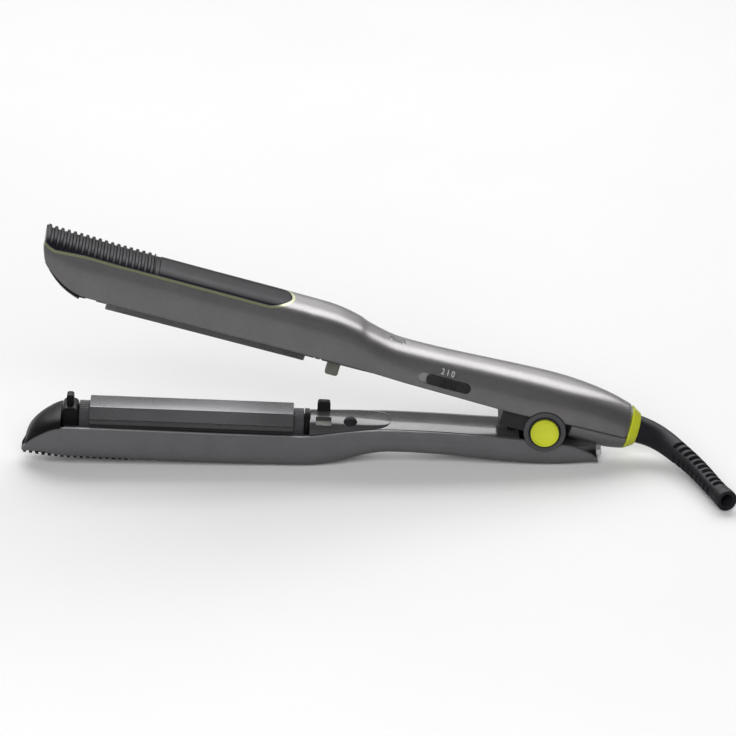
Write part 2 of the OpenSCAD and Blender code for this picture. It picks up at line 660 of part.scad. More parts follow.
// Soft dome that leans to the near side of the tongue
bumper_r = 3.4;
bumper_at = cover_front - 20.9;
bumper_y = -6.6;
bumper_lean = 30;
bumper_foot = 1.2;
bumper_dome = 1.7;
bumper_sunk = 1.3;
bumper_ball = (bumper_r ^ 2 + bumper_dome ^ 2) / (2 * bumper_dome);
module bumper_place() {
    translate([-bumper_at, bumper_y, jaw_z - tongue_face(bumper_at, -1) - bumper_sunk])
        rotate([bumper_lean, 0, 0]) children();
}
module lower_bumper() color("#101012") place_lower() bumper_place() rotate_extrude($fn = fine) {
    square([bumper_r, bumper_foot]);
    translate([0, bumper_foot - eps]) intersection() {
        translate([0, bumper_dome - bumper_ball]) circle(r = bumper_ball, $fn = 4 * fine);
        square([bumper_r, bumper_dome]);
    }
}

// Lower half of the hinge, screwed to the floor of the lower shell
block_y0 = 6.6;
block_y1 = cheek_gap / 2 - run_gap;
block_half = 6.5;
block_base_t = 4;
block_floor = max(table_z(0), curve(lower_bottom_pts, 0)) + wall + pad_recess + seat;
block_foot = 6;
block_flare = 4;
module block_outline() {
    polygon([
        [-block_foot, block_floor], [block_foot, block_floor],
        [block_y1, block_floor + block_flare], [block_y1, knuckle_r],
        [-block_y1, knuckle_r], [-block_y1, block_floor + block_flare]
    ]);
}
module lower_hinge_block() color("#4a4a50") place_lower() difference() {
    intersection() {
        block_arms();
        translate([-room, 0, 0]) rotate([90, 0, 90]) linear_extrude(2 * room) block_outline();
    }
    cross_rod(-room, room, hinge_pin_r + fit);
}
module block_arms() {
    for (s = [0, 1]) mirror([0, s, 0]) {
        cross_rod(block_y0, block_y1, knuckle_r);
        span_box([-block_half, block_y0, block_floor], [block_half, block_y1, 0]);
    }
    span_box(
        [-block_half, -block_y0 - eps, block_floor],
        [block_half, block_y0 + eps, block_floor + block_base_t]
    );
}

// Screw that holds the lower inner cover, in front of the hinge
screw_at = 16.5;
screw_r = 1.4;
screw_head_r = 2.7;
screw_head_t = 0.8;
screw_len = 9;
screw_z = cover_z(screw_at, -1) + cover_crown + seat;
module cover_screw() color("#8a8a8e") place_lower() translate([-screw_at, 0, screw_z]) {
    cylinder(r = screw_head_r, h = screw_head_t, $fn = fine);
    translate([0, 0, -screw_len]) cylinder(r = screw_r, h = screw_len + eps, $fn = fine);
}

// A pair of leads runs from the heater through the rear journal and turns into the handle
lead_r = 0.8;
lead_y = 0.9;
lead_turn = cover_front - 16.6;
lead_rise = 6;
module lead_run(axis_z, side) {
    for (y = [-lead_y, lead_y]) translate([0, y, axis_z]) {
        rod(barrel_rear + 1 - seat, lead_turn, lead_r);
        translate([-lead_turn, 0, 0]) {
            sphere(r = lead_r, $fn = fine);
            mirror([0, 0, side > 0 ? 0 : 1]) cylinder(r = lead_r, h = lead_rise, $fn = fine);
        }
    }
}
// Way for the leads through a bearing cover, and the notch in an inner cover's front edge
lead_half = lead_y + lead_r + run_gap;
lead_way_end = lead_turn - lead_half;
module lead_tunnel(axis_z) {
    span_box(
        [-cover_front - 1, -lead_half, axis_z - lead_half],
        [-lead_way_end, lead_half, axis_z + lead_half]
    );
}
module lead_notch() {
    span_box([-cover_front - 1, -lead_half, -room], [-lead_way_end, lead_half, room]);
}
module lower_leads() color("#e8e4dc") place_lower() lead_run(lower_axis_z, -1);

module lower_barrel() color("#7a7a80") place_lower() barrel(lower_axis_z, -1);
module lower_heater() color("#e4ded0") place_lower() heater(lower_axis_z);
module lower_front_collar() color("#303034") place_lower() front_collar(lower_axis_z);
module lower_rear_collar() color("#303034") place_lower() rear_collar(lower_axis_z);

lock_w = 8;
lock_z0 = -17.6;
lock_z1 = -14.2;
lock_x0 = 19;
lock_travel = 2.5;
module lock_slider() color("#c8c8cc") place_lower() {
    span_box([lock_x0, -lock_w / 2, lock_z0], [tail_tip + 1.4, lock_w / 2, lock_z1]);
    translate([tail_tip + 1.4, 0, (lock_z0 + lock_z1) / 2]) intersection() {
        cross_rod(-lock_w / 2, lock_w / 2, (lock_z1 - lock_z0) / 2);
        span_box([0, -lock_w, -9], [9, lock_w, 9]);
    }
}

// Upper arm
module upper_shell() color("#8c8c8e") place_upper() difference() {
    loft([for (u = upper_stations) upper_ring(u)], trough = true);
    translate([-slot_at, 0, slot_z]) slot_cut(slot_len, slot_w);
    window_cut(seat);
    swivel_hole();
}
// Hole for the turning neck of the cord, with a pocket for its flange
module swivel_hole() {
    translate([0, 0, outlet_z]) {
        rod(-tail_end + 6, -tail_end - 1, swivel_r + fit);
        rod(-tail_end + 9, -tail_end + wall, swivel_flange_r + run_gap);
    }
}
module slot_cut(len, w) {
    translate([0, -8, 0]) rotate([90, 0, 0]) linear_extrude(20) {
        square([len - w, w], center = true);
        for (x = [-1, 1]) translate([x * (len - w) / 2, 0]) circle(r = w / 2, $fn = fine);
    }
}
// Rounded window over the indicator lamp
window_r = 1.2;
module window_cut(play) {
    translate([-window_at, 0, 12]) linear_extrude(20) window_outline(play);
}
module window_outline(play) {
    square([window_len - 2 * window_r, window_w + 2 * play], center = true);
    square([window_len + 2 * play, window_w - 2 * window_r], center = true);
    for (x = [-1, 1], y = [-1, 1])
        translate([x * (window_len / 2 - window_r), y * (window_w / 2 - window_r)])
            circle(r = window_r + play, $fn = fine);
}
module upper_liner() color("#2c2c30") place_upper() liner(upper_axis_z, 1);
module upper_inner_cover() color("#3a3a40") place_upper() {
    difference() {
        inner_cover(1, yoke_front + 2 * seat);
        lead_notch();
    }
    for (u = post_at, y = [-post_y, post_y]) let (foot = cover_z(u, 1) + cover_crown - eps)
        translate([-u, y, foot]) cylinder(r = post_r, h = board_z - seat - foot, $fn = fine);
}
module upper_nose_cap() color("#1c1c20") place_upper() nose_cap(1);
module upper_grip_pad() color("#26262a") place_upper() grip_pad(1, upper_tip - 3 * seat);
module upper_front_bearing() color("#3c3c42") place_upper() difference() {
    front_bearing(upper_axis_z, 1);
    span_box(
        [-nose_tab_x[0] - 2 * run_gap, -nose_tab_w / 2 - 2 * run_gap, jaw_z - 5],
        [-nose_tab_x[1] + 2 * run_gap, nose_tab_w / 2 + 2 * run_gap, jaw_z + nose_tab_h + 2 * run_gap]
    );
}
module upper_rear_bearing() color("#222226") place_upper() rear_bearing(upper_axis_z, 1);
module upper_bearing_cover() color("#2a2a30") place_upper() difference() {
    tongue(1);
    tab_socket(1);
    tab_room(-1, tab_over, 2 * run_gap);
    lead_tunnel(upper_axis_z);
}
module upper_guide_tab() color("#55554c") place_upper() tab(1, upper_tab_over);

// Cover under the tail of the upper shell, behind the hinge
tail_front = 12.5;
tail_cover_pts = [
    [-tail_front, -2.8], [-20, -3.9], [-27, -4.6], [-33, -4.9], [-38, -4.5],
    [-tail_end, outlet_z - outlet_r]
];
tail_stations = [tail_front, 14, 17, 21, 25, 29, 33, 36, 39, 41, tail_end];
function tail_half(w, rim, low, n) =
    [for (t = [0:15:90]) let (p = squared(w, rim - low, n, t)) [p[0], rim - p[1]]];
function tail_cover_ring(u) =
    let (
        w = arm_w(u, 1), rim = curve(upper_rim_pts, u) - seat, low = curve(tail_cover_pts, u),
        n = curve(square_pts, u) * 0.85,
        fade = min(1, max(0, (tail_end - 1.5 + u) / 3), max(0, (-u - tail_front - 1.5) / 3)),
        o = tail_half(w, rim, low, n),
        i = tail_half(w - wall, rim, rim - max(0.3, (rim - low - wall) * fade), n),
        outer = concat(o, mirror_y(without_last(o))), inner = concat(i, mirror_y(without_last(i)))
    )
    at(u, concat(backward(outer), inner));
module upper_tail_cover() color("#7c7c80") place_upper() difference() {
    loft([for (d = tail_stations) tail_cover_ring(-d)], trough = true);
    swivel_hole();
}

module upper_leads() color("#e8e4dc") place_upper() lead_run(upper_axis_z, 1);
module upper_barrel() color("#7a7a80") place_upper() barrel(upper_axis_z, 1);
module upper_heater() color("#e4ded0") place_upper() heater(upper_axis_z);
module upper_front_collar() color("#303034") place_upper() front_collar(upper_axis_z);
module upper_rear_collar() color("#303034") place_upper() rear_collar(upper_axis_z);

// Upper half of the hinge: two round cheeks and the bridge between them
yoke_front = 23.4;
yoke_z0 = -3.8;
yoke_top = 13;
module hinge_yoke() color("#4a4a4e") place_upper() difference() {
    union() {
        for (s = [0, 1]) mirror([0, s, 0]) {
            cross_rod(cheek_gap / 2, cheek_out, cheek_r);
        }
        span_box([-yoke_front, -cheek_gap / 2 - eps, yoke_z0], [4, cheek_gap / 2 + eps, yoke_top]);
    }
    cross_rod(-cheek_gap / 2, cheek_gap / 2, knuckle_r + run_gap);
    span_box([-knuckle_r - run_gap, -cheek_gap / 2, -room], [room, cheek_gap / 2, 0]);
    cross_rod(-room, room, hinge_pin_r + fit);
}
module hinge_pin() color("#b8b8bc") place_upper()
    cross_rod(-cheek_out + seat, cheek_out - seat, hinge_pin_r);

// Coil spring round the hinge pin, a tube swept along a helix
spring_turns = 4;
spring_pitch = 2 * spring_wire_r + 0.9;
spring_steps = 12;
function helix(a) = [spring_r * cos(a), (a / 360 - spring_turns / 2) * spring_pitch, spring_r * sin(a)];
module hinge_spring() color("#a8a8ac") place_lower() {
    count = spring_turns * spring_steps;
    rings = [
        for (i = [0:count])
            let (a = 360 * i / spring_steps, c = helix(a))
            [for (k = [0:5]) let (t = 60 * k) [
                c[0] + spring_wire_r * cos(t) * cos(a),
                c[1] + spring_wire_r * sin(t),
                c[2] + spring_wire_r * cos(t) * sin(a)
            ]]
    ];
    loft(rings);
}

cap_ring_w = 1;
module hinge_cap_rings() color("#101012") place_upper() for (s = [0, 1]) mirror([0, s, 0])
    translate([0, cheek_out, 0]) rotate([-90, 0, 0]) rotate_extrude($fn = fine)
        translate([cap_r + seat, 0]) square([cap_ring_w, 0.7]);
module hinge_caps() color("#b5bd2c") place_upper() for (s = [0, 1]) mirror([0, s, 0])
    translate([0, cheek_out, 0]) rotate([-90, 0, 0]) rotate_extrude($fn = fine) cap_outline();
dome_r = (cap_r ^ 2 + cap_h ^ 2) / (2 * cap_h);
module cap_outline() {
    intersection() {
        translate([0, cap_h - dome_r + 0.6]) circle(r = dome_r, $fn = 4 * fine);
        square([cap_r, cap_h + 2]);
    }
}

// Electronics in the handle
board_x = [30, lead_turn - 4];
// Posts that hold the board on the inner cover
post_at = [board_x[0] + 6, board_x[1] - 8];
post_y = 6;
post_r = 2;
board_z = 10.2;
board_t = 1.6;
module circuit_board() color("#2f6b3a") place_upper()
    span_box([-board_x[1], -board_half, board_z], [-board_x[0], board_half, board_z + board_t]);
board_half = 9;
board_top = board_z + board_t + seat;
fuse_r = 1.6;
fuse_at = [48, 38];
fuse_y = 4;
module thermal_fuse() color("#d8d4c8") place_upper()
    translate([0, fuse_y, board_top + fuse_r]) rod(fuse_at[0], fuse_at[1], fuse_r);
switch_half = 9;
switch_w = 5;
switch_h = 3.3;
module slide_switch() color("#28282c") place_upper() span_box(
    [-slot_at - switch_half, -board_half, board_top],
    [-slot_at + switch_half, switch_w - board_half, board_top + switch_h]
);
led_r = 1.5;
module indicator_led() color("#e03a20") place_upper() translate([-window_at, 0, board_top])
    cylinder(r = led_r, h = lens_top - lens_t - seat - board_top, $fn = fine);
lens_top = 22.4;
lens_t = 2.4;
module indicator_lens() color("#d8d0c8") place_upper()
    translate([-window_at, 0, lens_top - lens_t]) linear_extrude(lens_t) window_outline(0);

// Temperature slider in its slot on the near side of the handle
knob_len = slot_len - slide_travel - 2 * seat;
knob_y = -15.6;
knob_t = 3;
knob_mid = [-slot_at + slide_travel / 2, 0, slot_z];
module temperature_slider() color("#202024") place_upper() translate(knob_mid) {
    translate([0, knob_y + knob_t, 0]) rotate([90, 0, 0]) linear_extrude(knob_t) {
        square([knob_len - slot_w, slot_w - 4 * seat], center = true);
        for (x = [-1, 1]) translate([x * (knob_len - slot_w) / 2, 0])
            circle(r = slot_w / 2 - 2 * seat, $fn = fine);
    }
    span_box([-1, knob_y + knob_t - eps, -1], [1, -board_half - run_gap, 1]);
}

// Cord outlet
module tail_collar() color("#b5bd2c") place_upper()
    translate([tail_end + seat, 0, outlet_z]) rotate([0, 90, 0]) difference() {
        cylinder(r1 = outlet_r - 0.2, r2 = relief_r0 + 0.9, h = tail_collar_len, $fn = fine);
        translate([0, 0, -1]) cylinder(r = relief_r0 + seat, h = tail_collar_len + 2, $fn = fine);
    }
swivel_r = 5;
swivel_flange_r = 6.6;
swivel_flange_t = 1.4;
flange_back = -tail_end + wall + run_gap;
module swivel_core() color("#202024") place_upper() translate([0, 0, outlet_z]) difference() {
    union() {
        rod(flange_back + swivel_flange_t, -tail_end - run_gap, swivel_r);
        rod(flange_back + swivel_flange_t, flange_back, swivel_flange_r);
    }
    rod(-tail_end + 9, -tail_end - 9, cord_r);
}

// Strain relief: it leaves along the upper arm, then droops to the table toward the front.
// Its middle line runs through these points, in the world frame.
tail_tilt = lower_tilt + open_angle;
relief_start = [
    (tail_end + run_gap) * cos(tail_tilt) + outlet_z * sin(tail_tilt), 0,
    hinge_h - (tail_end + run_gap) * sin(tail_tilt) + outlet_z * cos(tail_tilt)
];
relief_run = [
    [12.5, 1.8, -3.7], [19, 6.5, -5.9], [25.2, 14.9, -7.8], [31.2, 25.3, -9.2],
    [36.6, 37.6, -10.1], [41.2, 50.7, -10.7], [44.9, 61.4, -10.95], [47.6, 69.2, -11.1]
];
relief_line = concat(
    [relief_start, relief_start + 6 * [cos(tail_tilt), 0, -sin(tail_tilt)]],
    [for (p = relief_run) relief_start + [p[0], -p[1], p[2]]]
);
function bend(t) =
    let (
        last = len(relief_line) - 1, i = min(last - 1, floor(t * last)), f = t * last - i,
        a = relief_line[i], b = relief_line[i + 1],
        ma = (b - relief_line[max(0, i - 1)]) / (i > 0 ? 2 : 1),
        mb = (relief_line[min(last, i + 2)] - a) / (i + 2 <= last ? 2 : 1)
    )
    (2 * f ^ 3 - 3 * f ^ 2 + 1) * a + (f ^ 3 - 2 * f ^ 2 + f) * ma
    + (3 * f ^ 2 - 2 * f ^ 3) * b + (f ^ 3 - f ^ 2) * mb;
function unit(v) = v / norm(v);
function heading(t) =
    t < 0.005 ? [cos(tail_tilt), 0, -sin(tail_tilt)] : unit(bend(min(1, t + 0.005)) - bend(t - 0.005));
function circle_at(t, r, sides) =
    let (c = bend(t), d = heading(t), across = unit(cross([0, 0, 1], d)), up = cross(d, across))
    [for (k = [0:sides - 1]) c + r * (cos(360 * k / sides) * across + sin(360 * k / sides) * up)];
relief_steps = 24;
relief_sides = 13;
function relief_r(t) = relief_r1 + (relief_r0 - relief_r1) * (1 - min(1, t / 0.8)) ^ 1.6;
module strain_relief() color("#1b1b20") {
    rings = [
        for (i = [0:relief_steps])
            let (t = i / relief_steps, bore = circle_at(t, cord_r + 0.2, relief_sides))
            concat(circle_at(t, relief_r(t), relief_sides), backward(bore))
    ];
    sleeve(rings, relief_sides);
    relief_end();
}
// Tube through rings that hold an outer circle, then an inner one backward
module sleeve(rings, m) {
    n = 2 * m;
    last = (len(rings) - 1) * n;
    function inner(j) = n - 1 - j;
    walls = [
        for (i = [0:n:last - n], j = [0:m - 1])
            let (k = (j + 1) % m, a = i + j, b = i + k, c = i + inner(j), d = i + inner(k))
                each [[a, b + n, b], [a, a + n, b + n], [c, d, d + n], [c, d + n, c + n]]
    ];
    front = [
        for (j = [0:m - 1]) let (k = (j + 1) % m) each [[j, k, inner(k)], [j, inner(k), inner(j)]]
    ];
    back = [for (f = front) [for (k = backward(f)) k + last]];
    polyhedron(points = [for (r = rings) each r], faces = concat(front, back, walls), convexity = 8);
}
relief_end_len = 5;
module relief_end() {
    d = heading(1);
    translate(bend(1) - d) rotate([0, acos(d[2]), atan2(d[1], d[0])]) difference() {
        cylinder(r = relief_r1 + 0.35, h = relief_end_len, $fn = fine);
        translate([0, 0, -1]) cylinder(r = cord_r, h = relief_end_len + 2, $fn = fine);
    }
}

lower_shell();
lower_liner();
lower_inner_cover();
lower_nose_cap();
lower_grip_pad();
lower_front_bearing();
lower_rear_bearing();
lower_bearing_cover();
lower_guide_tab();
lower_bumper();
lower_hinge_block();
cover_screw();
lower_leads();
lower_barrel();
lower_heater();
lower_front_collar();
lower_rear_collar();
lock_slider();
upper_shell();
upper_liner();
upper_inner_cover();
upper_nose_cap();
upper_grip_pad();
upper_front_bearing();
upper_rear_bearing();
upper_bearing_cover();
upper_guide_tab();
upper_tail_cover();
upper_leads();
upper_barrel();
upper_heater();
upper_front_collar();
upper_rear_collar();
hinge_yoke();
hinge_pin();
hinge_spring();
hinge_cap_rings();
hinge_caps();
circuit_board();
thermal_fuse();
slide_switch();
indicator_led();
indicator_lens();
temperature_slider();
tail_collar();
swivel_core();
strain_relief();
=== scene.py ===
# %% [markdown]
# # A rotating hair crimper
# Two hinged arms lie open like a beak. Each holds a heated barrel with three faces that turns to
# bring one of them to the hair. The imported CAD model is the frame: it brings every rigid piece to
# its real place and size, and this lesson gives the pieces their smooth skins and finishes.

import bmesh
import bpy
import math
import numpy
from mathutils import Matrix, Vector


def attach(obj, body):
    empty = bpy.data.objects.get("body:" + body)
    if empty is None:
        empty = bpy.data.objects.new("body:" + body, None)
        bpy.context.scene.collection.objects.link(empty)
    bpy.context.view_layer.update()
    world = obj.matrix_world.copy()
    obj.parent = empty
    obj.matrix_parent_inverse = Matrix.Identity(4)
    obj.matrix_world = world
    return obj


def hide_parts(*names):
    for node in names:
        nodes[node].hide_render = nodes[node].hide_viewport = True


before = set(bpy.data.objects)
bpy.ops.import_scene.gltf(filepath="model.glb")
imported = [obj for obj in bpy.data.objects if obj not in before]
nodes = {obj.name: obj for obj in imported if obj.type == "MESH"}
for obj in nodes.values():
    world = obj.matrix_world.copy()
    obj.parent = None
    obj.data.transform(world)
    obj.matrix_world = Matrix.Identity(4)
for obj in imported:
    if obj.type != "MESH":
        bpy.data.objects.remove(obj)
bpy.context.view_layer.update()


def linked(name, data):
    """A new object around some data, in the scene."""
    o = bpy.data.objects.new(name, data)
    bpy.context.scene.collection.objects.link(o)
    return o


# %% [markdown]
# ## Camera
# The photograph looks from the side and a little from above, through a long lens, so that the arms
# hardly shrink with distance. A long lens far away gives the same flat look. The camera is aimed at
# the middle of the picture by its place, so that no shift is needed.

# %% Camera
VIEW_UP = math.radians(23.5)
VIEW_ROLL = math.radians(0.2)
VIEW_FAR = 2.5
IMAGE_SIDE = 736
PIXELS_PER_TANGENT = 4864
aim = Vector((-0.09056, 0, 0.05051))

camera_data = bpy.data.cameras.new("camera")
camera_data.sensor_width = 36
camera_data.lens = PIXELS_PER_TANGENT / IMAGE_SIDE * camera_data.sensor_width
camera_data.clip_end = 20
camera = linked("camera", camera_data)
back = Vector((0, -math.cos(VIEW_UP), math.sin(VIEW_UP)))
camera.location = aim + back * VIEW_FAR
camera.rotation_euler = (
    Matrix.Rotation(math.pi / 2 - VIEW_UP, 4, "X") @ Matrix.Rotation(-VIEW_ROLL, 4, "Z")
).to_euler()
bpy.context.scene.camera = camera
print("lens", round(camera_data.lens, 1), "mm")

# %% [markdown]
# ## Shader groups
# Moulded plastic is never quite even: it has a fine grain, its gloss drifts a little from place to
# place, and paint with metal flakes sparkles. These effects come back in many finishes, so each is
# one node group with named inputs and outputs, placed in a material with that finish's own values.
# They use noise in the object's own coordinates, so that they stay on the piece when it moves.


# %% A node group
def new_group(name, inputs, outputs):
    g = bpy.data.node_groups.new(name, "ShaderNodeTree")
    for label, value in inputs.items():
        kind = "NodeSocketColor" if isinstance(value, tuple) else "NodeSocketFloat"
        s = g.interface.new_socket(label, in_out="INPUT", socket_type=kind)
        s.default_value = (*value, 1) if isinstance(value, tuple) else value
    for label, kind in outputs.items():
        g.interface.new_socket(label, in_out="OUTPUT", socket_type=kind)
    return g, g.nodes.new("NodeGroupInput"), g.nodes.new("NodeGroupOutput")


def add(tree, kind, **settings):
    n = tree.nodes.new(kind)
    for key, value in settings.items():
        if hasattr(n, key):
            setattr(n, key, value)
        else:
            n.inputs[key].default_value = value
    return n


def wire(tree, *links):
    """Joins nodes, each link given as (node, its output, node, its input)."""
    for a, out, b, into in links:
        tree.links.new(a.outputs[out], b.inputs[into])


NOISE_RANGE = {"From Min": 0.3, "From Max": 0.7}


def noise(tree, given, detail):
    """Noise in the object's own coordinates, as fine as the group's Scale says."""
    n = add(tree, "ShaderNodeTexNoise", Detail=detail)
    where = tree.nodes.new("ShaderNodeTexCoord")
    wire(tree, (where, "Object", n, "Vector"), (given, "Scale", n, "Scale"))
    return n


# %% Grain: the fine texture of a mould, as a height
grain, g_in, g_out = new_group(
    "mould_grain", {"Scale": 3000.0, "Depth": 1.0}, {"Height": "NodeSocketFloat"}
)
fine = noise(grain, g_in, detail=3)
deep = add(grain, "ShaderNodeMath", operation="MULTIPLY")
wire(grain, (fine, "Fac", deep, 0), (g_in, "Depth", deep, 1), (deep, 0, g_out, "Height"))

# %% Drift: gloss that is a little duller in some places, from moulding and from hands
drift, d_in, d_out = new_group(
    "gloss_drift", {"Scale": 60.0, "Least": 0.3, "Most": 0.4}, {"Roughness": "NodeSocketFloat"}
)
cloud = noise(drift, d_in, detail=4)
spread = add(drift, "ShaderNodeMapRange", **NOISE_RANGE)
wire(drift, (cloud, "Fac", spread, "Value"), (d_in, "Least", spread, "To Min"),
     (d_in, "Most", spread, "To Max"), (spread, "Result", d_out, "Roughness"))

# %% Tone: a colour that wavers between two near shades
tone, t_in, t_out = new_group(
    "tone_shift",
    {"Scale": 90.0, "Shade": (0.1, 0.1, 0.1), "Light": (0.2, 0.2, 0.2)},
    {"Color": "NodeSocketColor"},
)
cloud = noise(tone, t_in, detail=3)
blend = add(tone, "ShaderNodeMix", data_type="RGBA")
spread = add(tone, "ShaderNodeMapRange", **NOISE_RANGE)
wire(tone, (cloud, "Fac", spread, "Value"), (spread, "Result", blend, "Factor"),
     (t_in, "Shade", blend, 6), (t_in, "Light", blend, 7), (blend, 2, t_out, "Color"))

# %% Flakes: metal specks in a paint, as a colour
flakes, f_in, f_out = new_group(
    "metal_flakes",
    {"Scale": 5200.0, "Strength": 0.25, "Color": (0.3, 0.3, 0.3)},
    {"Color": "NodeSocketColor"},
)
cells = add(flakes, "ShaderNodeTexVoronoi")
where = flakes.nodes.new("ShaderNodeTexCoord")
bright = flakes.nodes.new("ShaderNodeSeparateColor")
gain = add(flakes, "ShaderNodeMapRange")
least = add(flakes, "ShaderNodeMath", operation="SUBTRACT")
most = add(flakes, "ShaderNodeMath", operation="ADD")
least.inputs[0].default_value = most.inputs[0].default_value = 1
lit = add(flakes, "ShaderNodeVectorMath", operation="SCALE")
wire(flakes, (where, "Object", cells, "Vector"), (f_in, "Scale", cells, "Scale"),
     (cells, "Color", bright, "Color"), (bright, "Red", gain, "Value"),
     (f_in, "Strength", least, 1), (least, 0, gain, "To Min"),
     (f_in, "Strength", most, 1), (most, 0, gain, "To Max"),
     (f_in, "Color", lit, 0), (gain, "Result", lit, "Scale"), (lit, 0, f_out, "Color"))
print("groups", [g.name for g in bpy.data.node_groups])

# %% [markdown]
# ## Finishes
# Each finish is one Principled material. Its plain values sit on the shader's own sockets, and the
# groups feed colour, roughness and bump. A helper builds the usual set, since most pieces of this
# tool are moulded plastic that differs only in colour, gloss and grain. Four of the blacks are dull
# grades, which throw back less light than plain plastic does.


# %% A moulded finish
def finish(name, shade, light, rough, metal=0.0, coat=0.0, coat_rough=0.1,
           grain_size=0.35, grain_depth=0.02, cloud_size=14, flake=0.0):
    """Shade and light are the ends of the colour, rough the ends of the gloss, sizes are in mm."""
    m = bpy.data.materials.new(name)
    m.use_nodes = True
    tree = m.node_tree
    b = tree.nodes["Principled BSDF"]
    b.inputs["Metallic"].default_value = metal
    b.inputs["Coat Weight"].default_value = coat
    b.inputs["Coat Roughness"].default_value = coat_rough
    paint = add(tree, "ShaderNodeGroup", node_tree=tone, Scale=1000 / cloud_size,
                Shade=(*shade, 1), Light=(*light, 1))
    if flake:
        specks = add(tree, "ShaderNodeGroup", node_tree=flakes, Strength=flake)
        wire(tree, (paint, "Color", specks, "Color"))
        paint = specks
    gloss = add(tree, "ShaderNodeGroup", node_tree=drift, Scale=700 / cloud_size,
                Least=rough[0], Most=rough[1])
    skin = add(tree, "ShaderNodeGroup", node_tree=grain, Scale=1000 / grain_size)
    bump = add(tree, "ShaderNodeBump", Distance=grain_depth / 1000, Strength=1.0)
    wire(tree, (paint, "Color", b, "Base Color"), (gloss, "Roughness", b, "Roughness"),
         (skin, "Height", bump, "Height"), (bump, "Normal", b, "Normal"))
    return m


def grey(value, tint=0.0):
    return (value, value * (1 - tint / 2), value * (1 + tint))


# %% Finishes of what shows
shell_paint = finish("shell_paint", (0.370, 0.358, 0.366), (0.405, 0.393, 0.402), (0.33, 0.38),
                     metal=0.85, coat=0.25, coat_rough=0.25, grain_size=0.5, grain_depth=0.008,
                     flake=0.16)
# The lower shell's paint is the upper shell's grey made darker: painted shade on the lower arm.
shaded_lower_paint = finish("shaded_lower_paint", grey(0.20, 0.03), grey(0.22, 0.03), (0.36, 0.42),
                     metal=0.6, coat=0.25, coat_rough=0.25, grain_size=0.5, grain_depth=0.012,
                     flake=0.14)
black_gloss = finish("black_gloss", grey(0.008), grey(0.011), (0.10, 0.15), coat=0.6,
                     coat_rough=0.05, grain_size=3, grain_depth=0.004)
smoke_gloss = finish("smoke_gloss", grey(0.10, 0.03), grey(0.12, 0.03), (0.18, 0.24), metal=0.6,
                     coat=0.6, coat_rough=0.06, grain_size=3, grain_depth=0.004)
black_matt = finish("black_matt", grey(0.018, 0.05), grey(0.026, 0.05), (0.42, 0.52))
cap_black = finish("cap_black", grey(0.006), grey(0.009), (0.36, 0.42), grain_size=3,
                   grain_depth=0.004)
white_print = finish("white_print", grey(0.42), grey(0.50), (0.45, 0.55), grain_depth=0.006)
pad_plastic = finish("pad_plastic", (0.009, 0.009, 0.012), (0.012, 0.012, 0.016), (0.34, 0.42),
                     grain_size=0.25, grain_depth=0.015)
barrel_coat = finish("barrel_coat", grey(0.20, 0.03), grey(0.23, 0.03), (0.24, 0.30), metal=0.7,
                     coat=0.4, coat_rough=0.15, grain_size=0.3, grain_depth=0.008, cloud_size=30)

# %% Finishes of the smaller pieces
fired_clay = finish("fired_clay", (0.70, 0.66, 0.58), (0.78, 0.75, 0.68), (0.6, 0.7))
lime_gloss = finish("lime_gloss", (0.47, 0.51, 0.022), (0.53, 0.57, 0.030), (0.2, 0.26), coat=0.5,
                    coat_rough=0.08, grain_size=2, grain_depth=0.004)
bright_steel = finish("bright_steel", grey(0.5), grey(0.6), (0.22, 0.34), metal=1.0,
                      grain_size=0.15, grain_depth=0.004)
dark_steel = finish("dark_steel", grey(0.05), grey(0.07), (0.25, 0.35), metal=1.0,
                    grain_size=0.15, grain_depth=0.004)
soft_rubber = finish("soft_rubber", (0.012, 0.012, 0.015), (0.018, 0.018, 0.021), (0.36, 0.46),
                     grain_size=0.25, grain_depth=0.02)
board_green = finish("board_green", (0.03, 0.16, 0.07), (0.05, 0.22, 0.09), (0.3, 0.4))
lead_white = finish("lead_white", (0.68, 0.66, 0.60), (0.76, 0.74, 0.69), (0.45, 0.55))
window_clear = finish("window_clear", grey(0.42), grey(0.46), (0.16, 0.22), metal=0.6, coat=0.5,
                      grain_size=2, grain_depth=0.003)
lamp_red = finish("lamp_red", (0.5, 0.04, 0.02), (0.6, 0.06, 0.03), (0.15, 0.2))
pale_satin = finish("pale_satin", grey(0.55, 0.03), grey(0.62, 0.03), (0.2, 0.28), metal=0.3,
                    coat=0.4)
# A grey of its own for the slot's floor, which shows lighter than the shell: a painted highlight.
slot_floor_highlight = finish("slot_floor_highlight", grey(0.22, 0.02), grey(0.26, 0.02), (0.3, 0.4), metal=0.3)
ring_plastic = finish("ring_plastic", grey(0.050, 0.05), grey(0.062, 0.05), (0.34, 0.42))
tab_olive = finish("tab_olive", (0.085, 0.085, 0.070), (0.10, 0.10, 0.085), (0.3, 0.4))

# %% Dull grades of black
DULL_SHEEN = 0.28
for black in (cap_black, black_matt, pad_plastic, soft_rubber):
    shader = black.node_tree.nodes["Principled BSDF"]
    shader.inputs["Specular IOR Level"].default_value = DULL_SHEEN
print("finishes", len(bpy.data.materials))

# %% [markdown]
# ## Curves and sections
# The body of such a tool is drawn with a few long curves: where its rim runs, where its crown runs,
# how wide it is and how boxy its section is. The CAD source holds these as short lists of points
# along an arm, from the nose to the tail, and the same lists are used here, but sampled far more
# finely, so that long reflections run without a break. Numbers are in millimetres along and across
# an arm, and one function turns them into metres in the world.

# %% Points along the arms
HINGE_H = 21.3
LOWER_TILT = 2.6
OPEN_ANGLE = 13.4
LOWER, UPPER = -1, 1
tilt = {LOWER: math.radians(LOWER_TILT), UPPER: math.radians(LOWER_TILT + OPEN_ANGLE)}


def place(side, x, y, z):
    """A point of an arm's own frame, in mm, as a point of the world, in metres."""
    c, s = math.cos(tilt[side]), math.sin(tilt[side])
    return ((x * c + z * s) / 1000, y / 1000, (HINGE_H - x * s + z * c) / 1000)


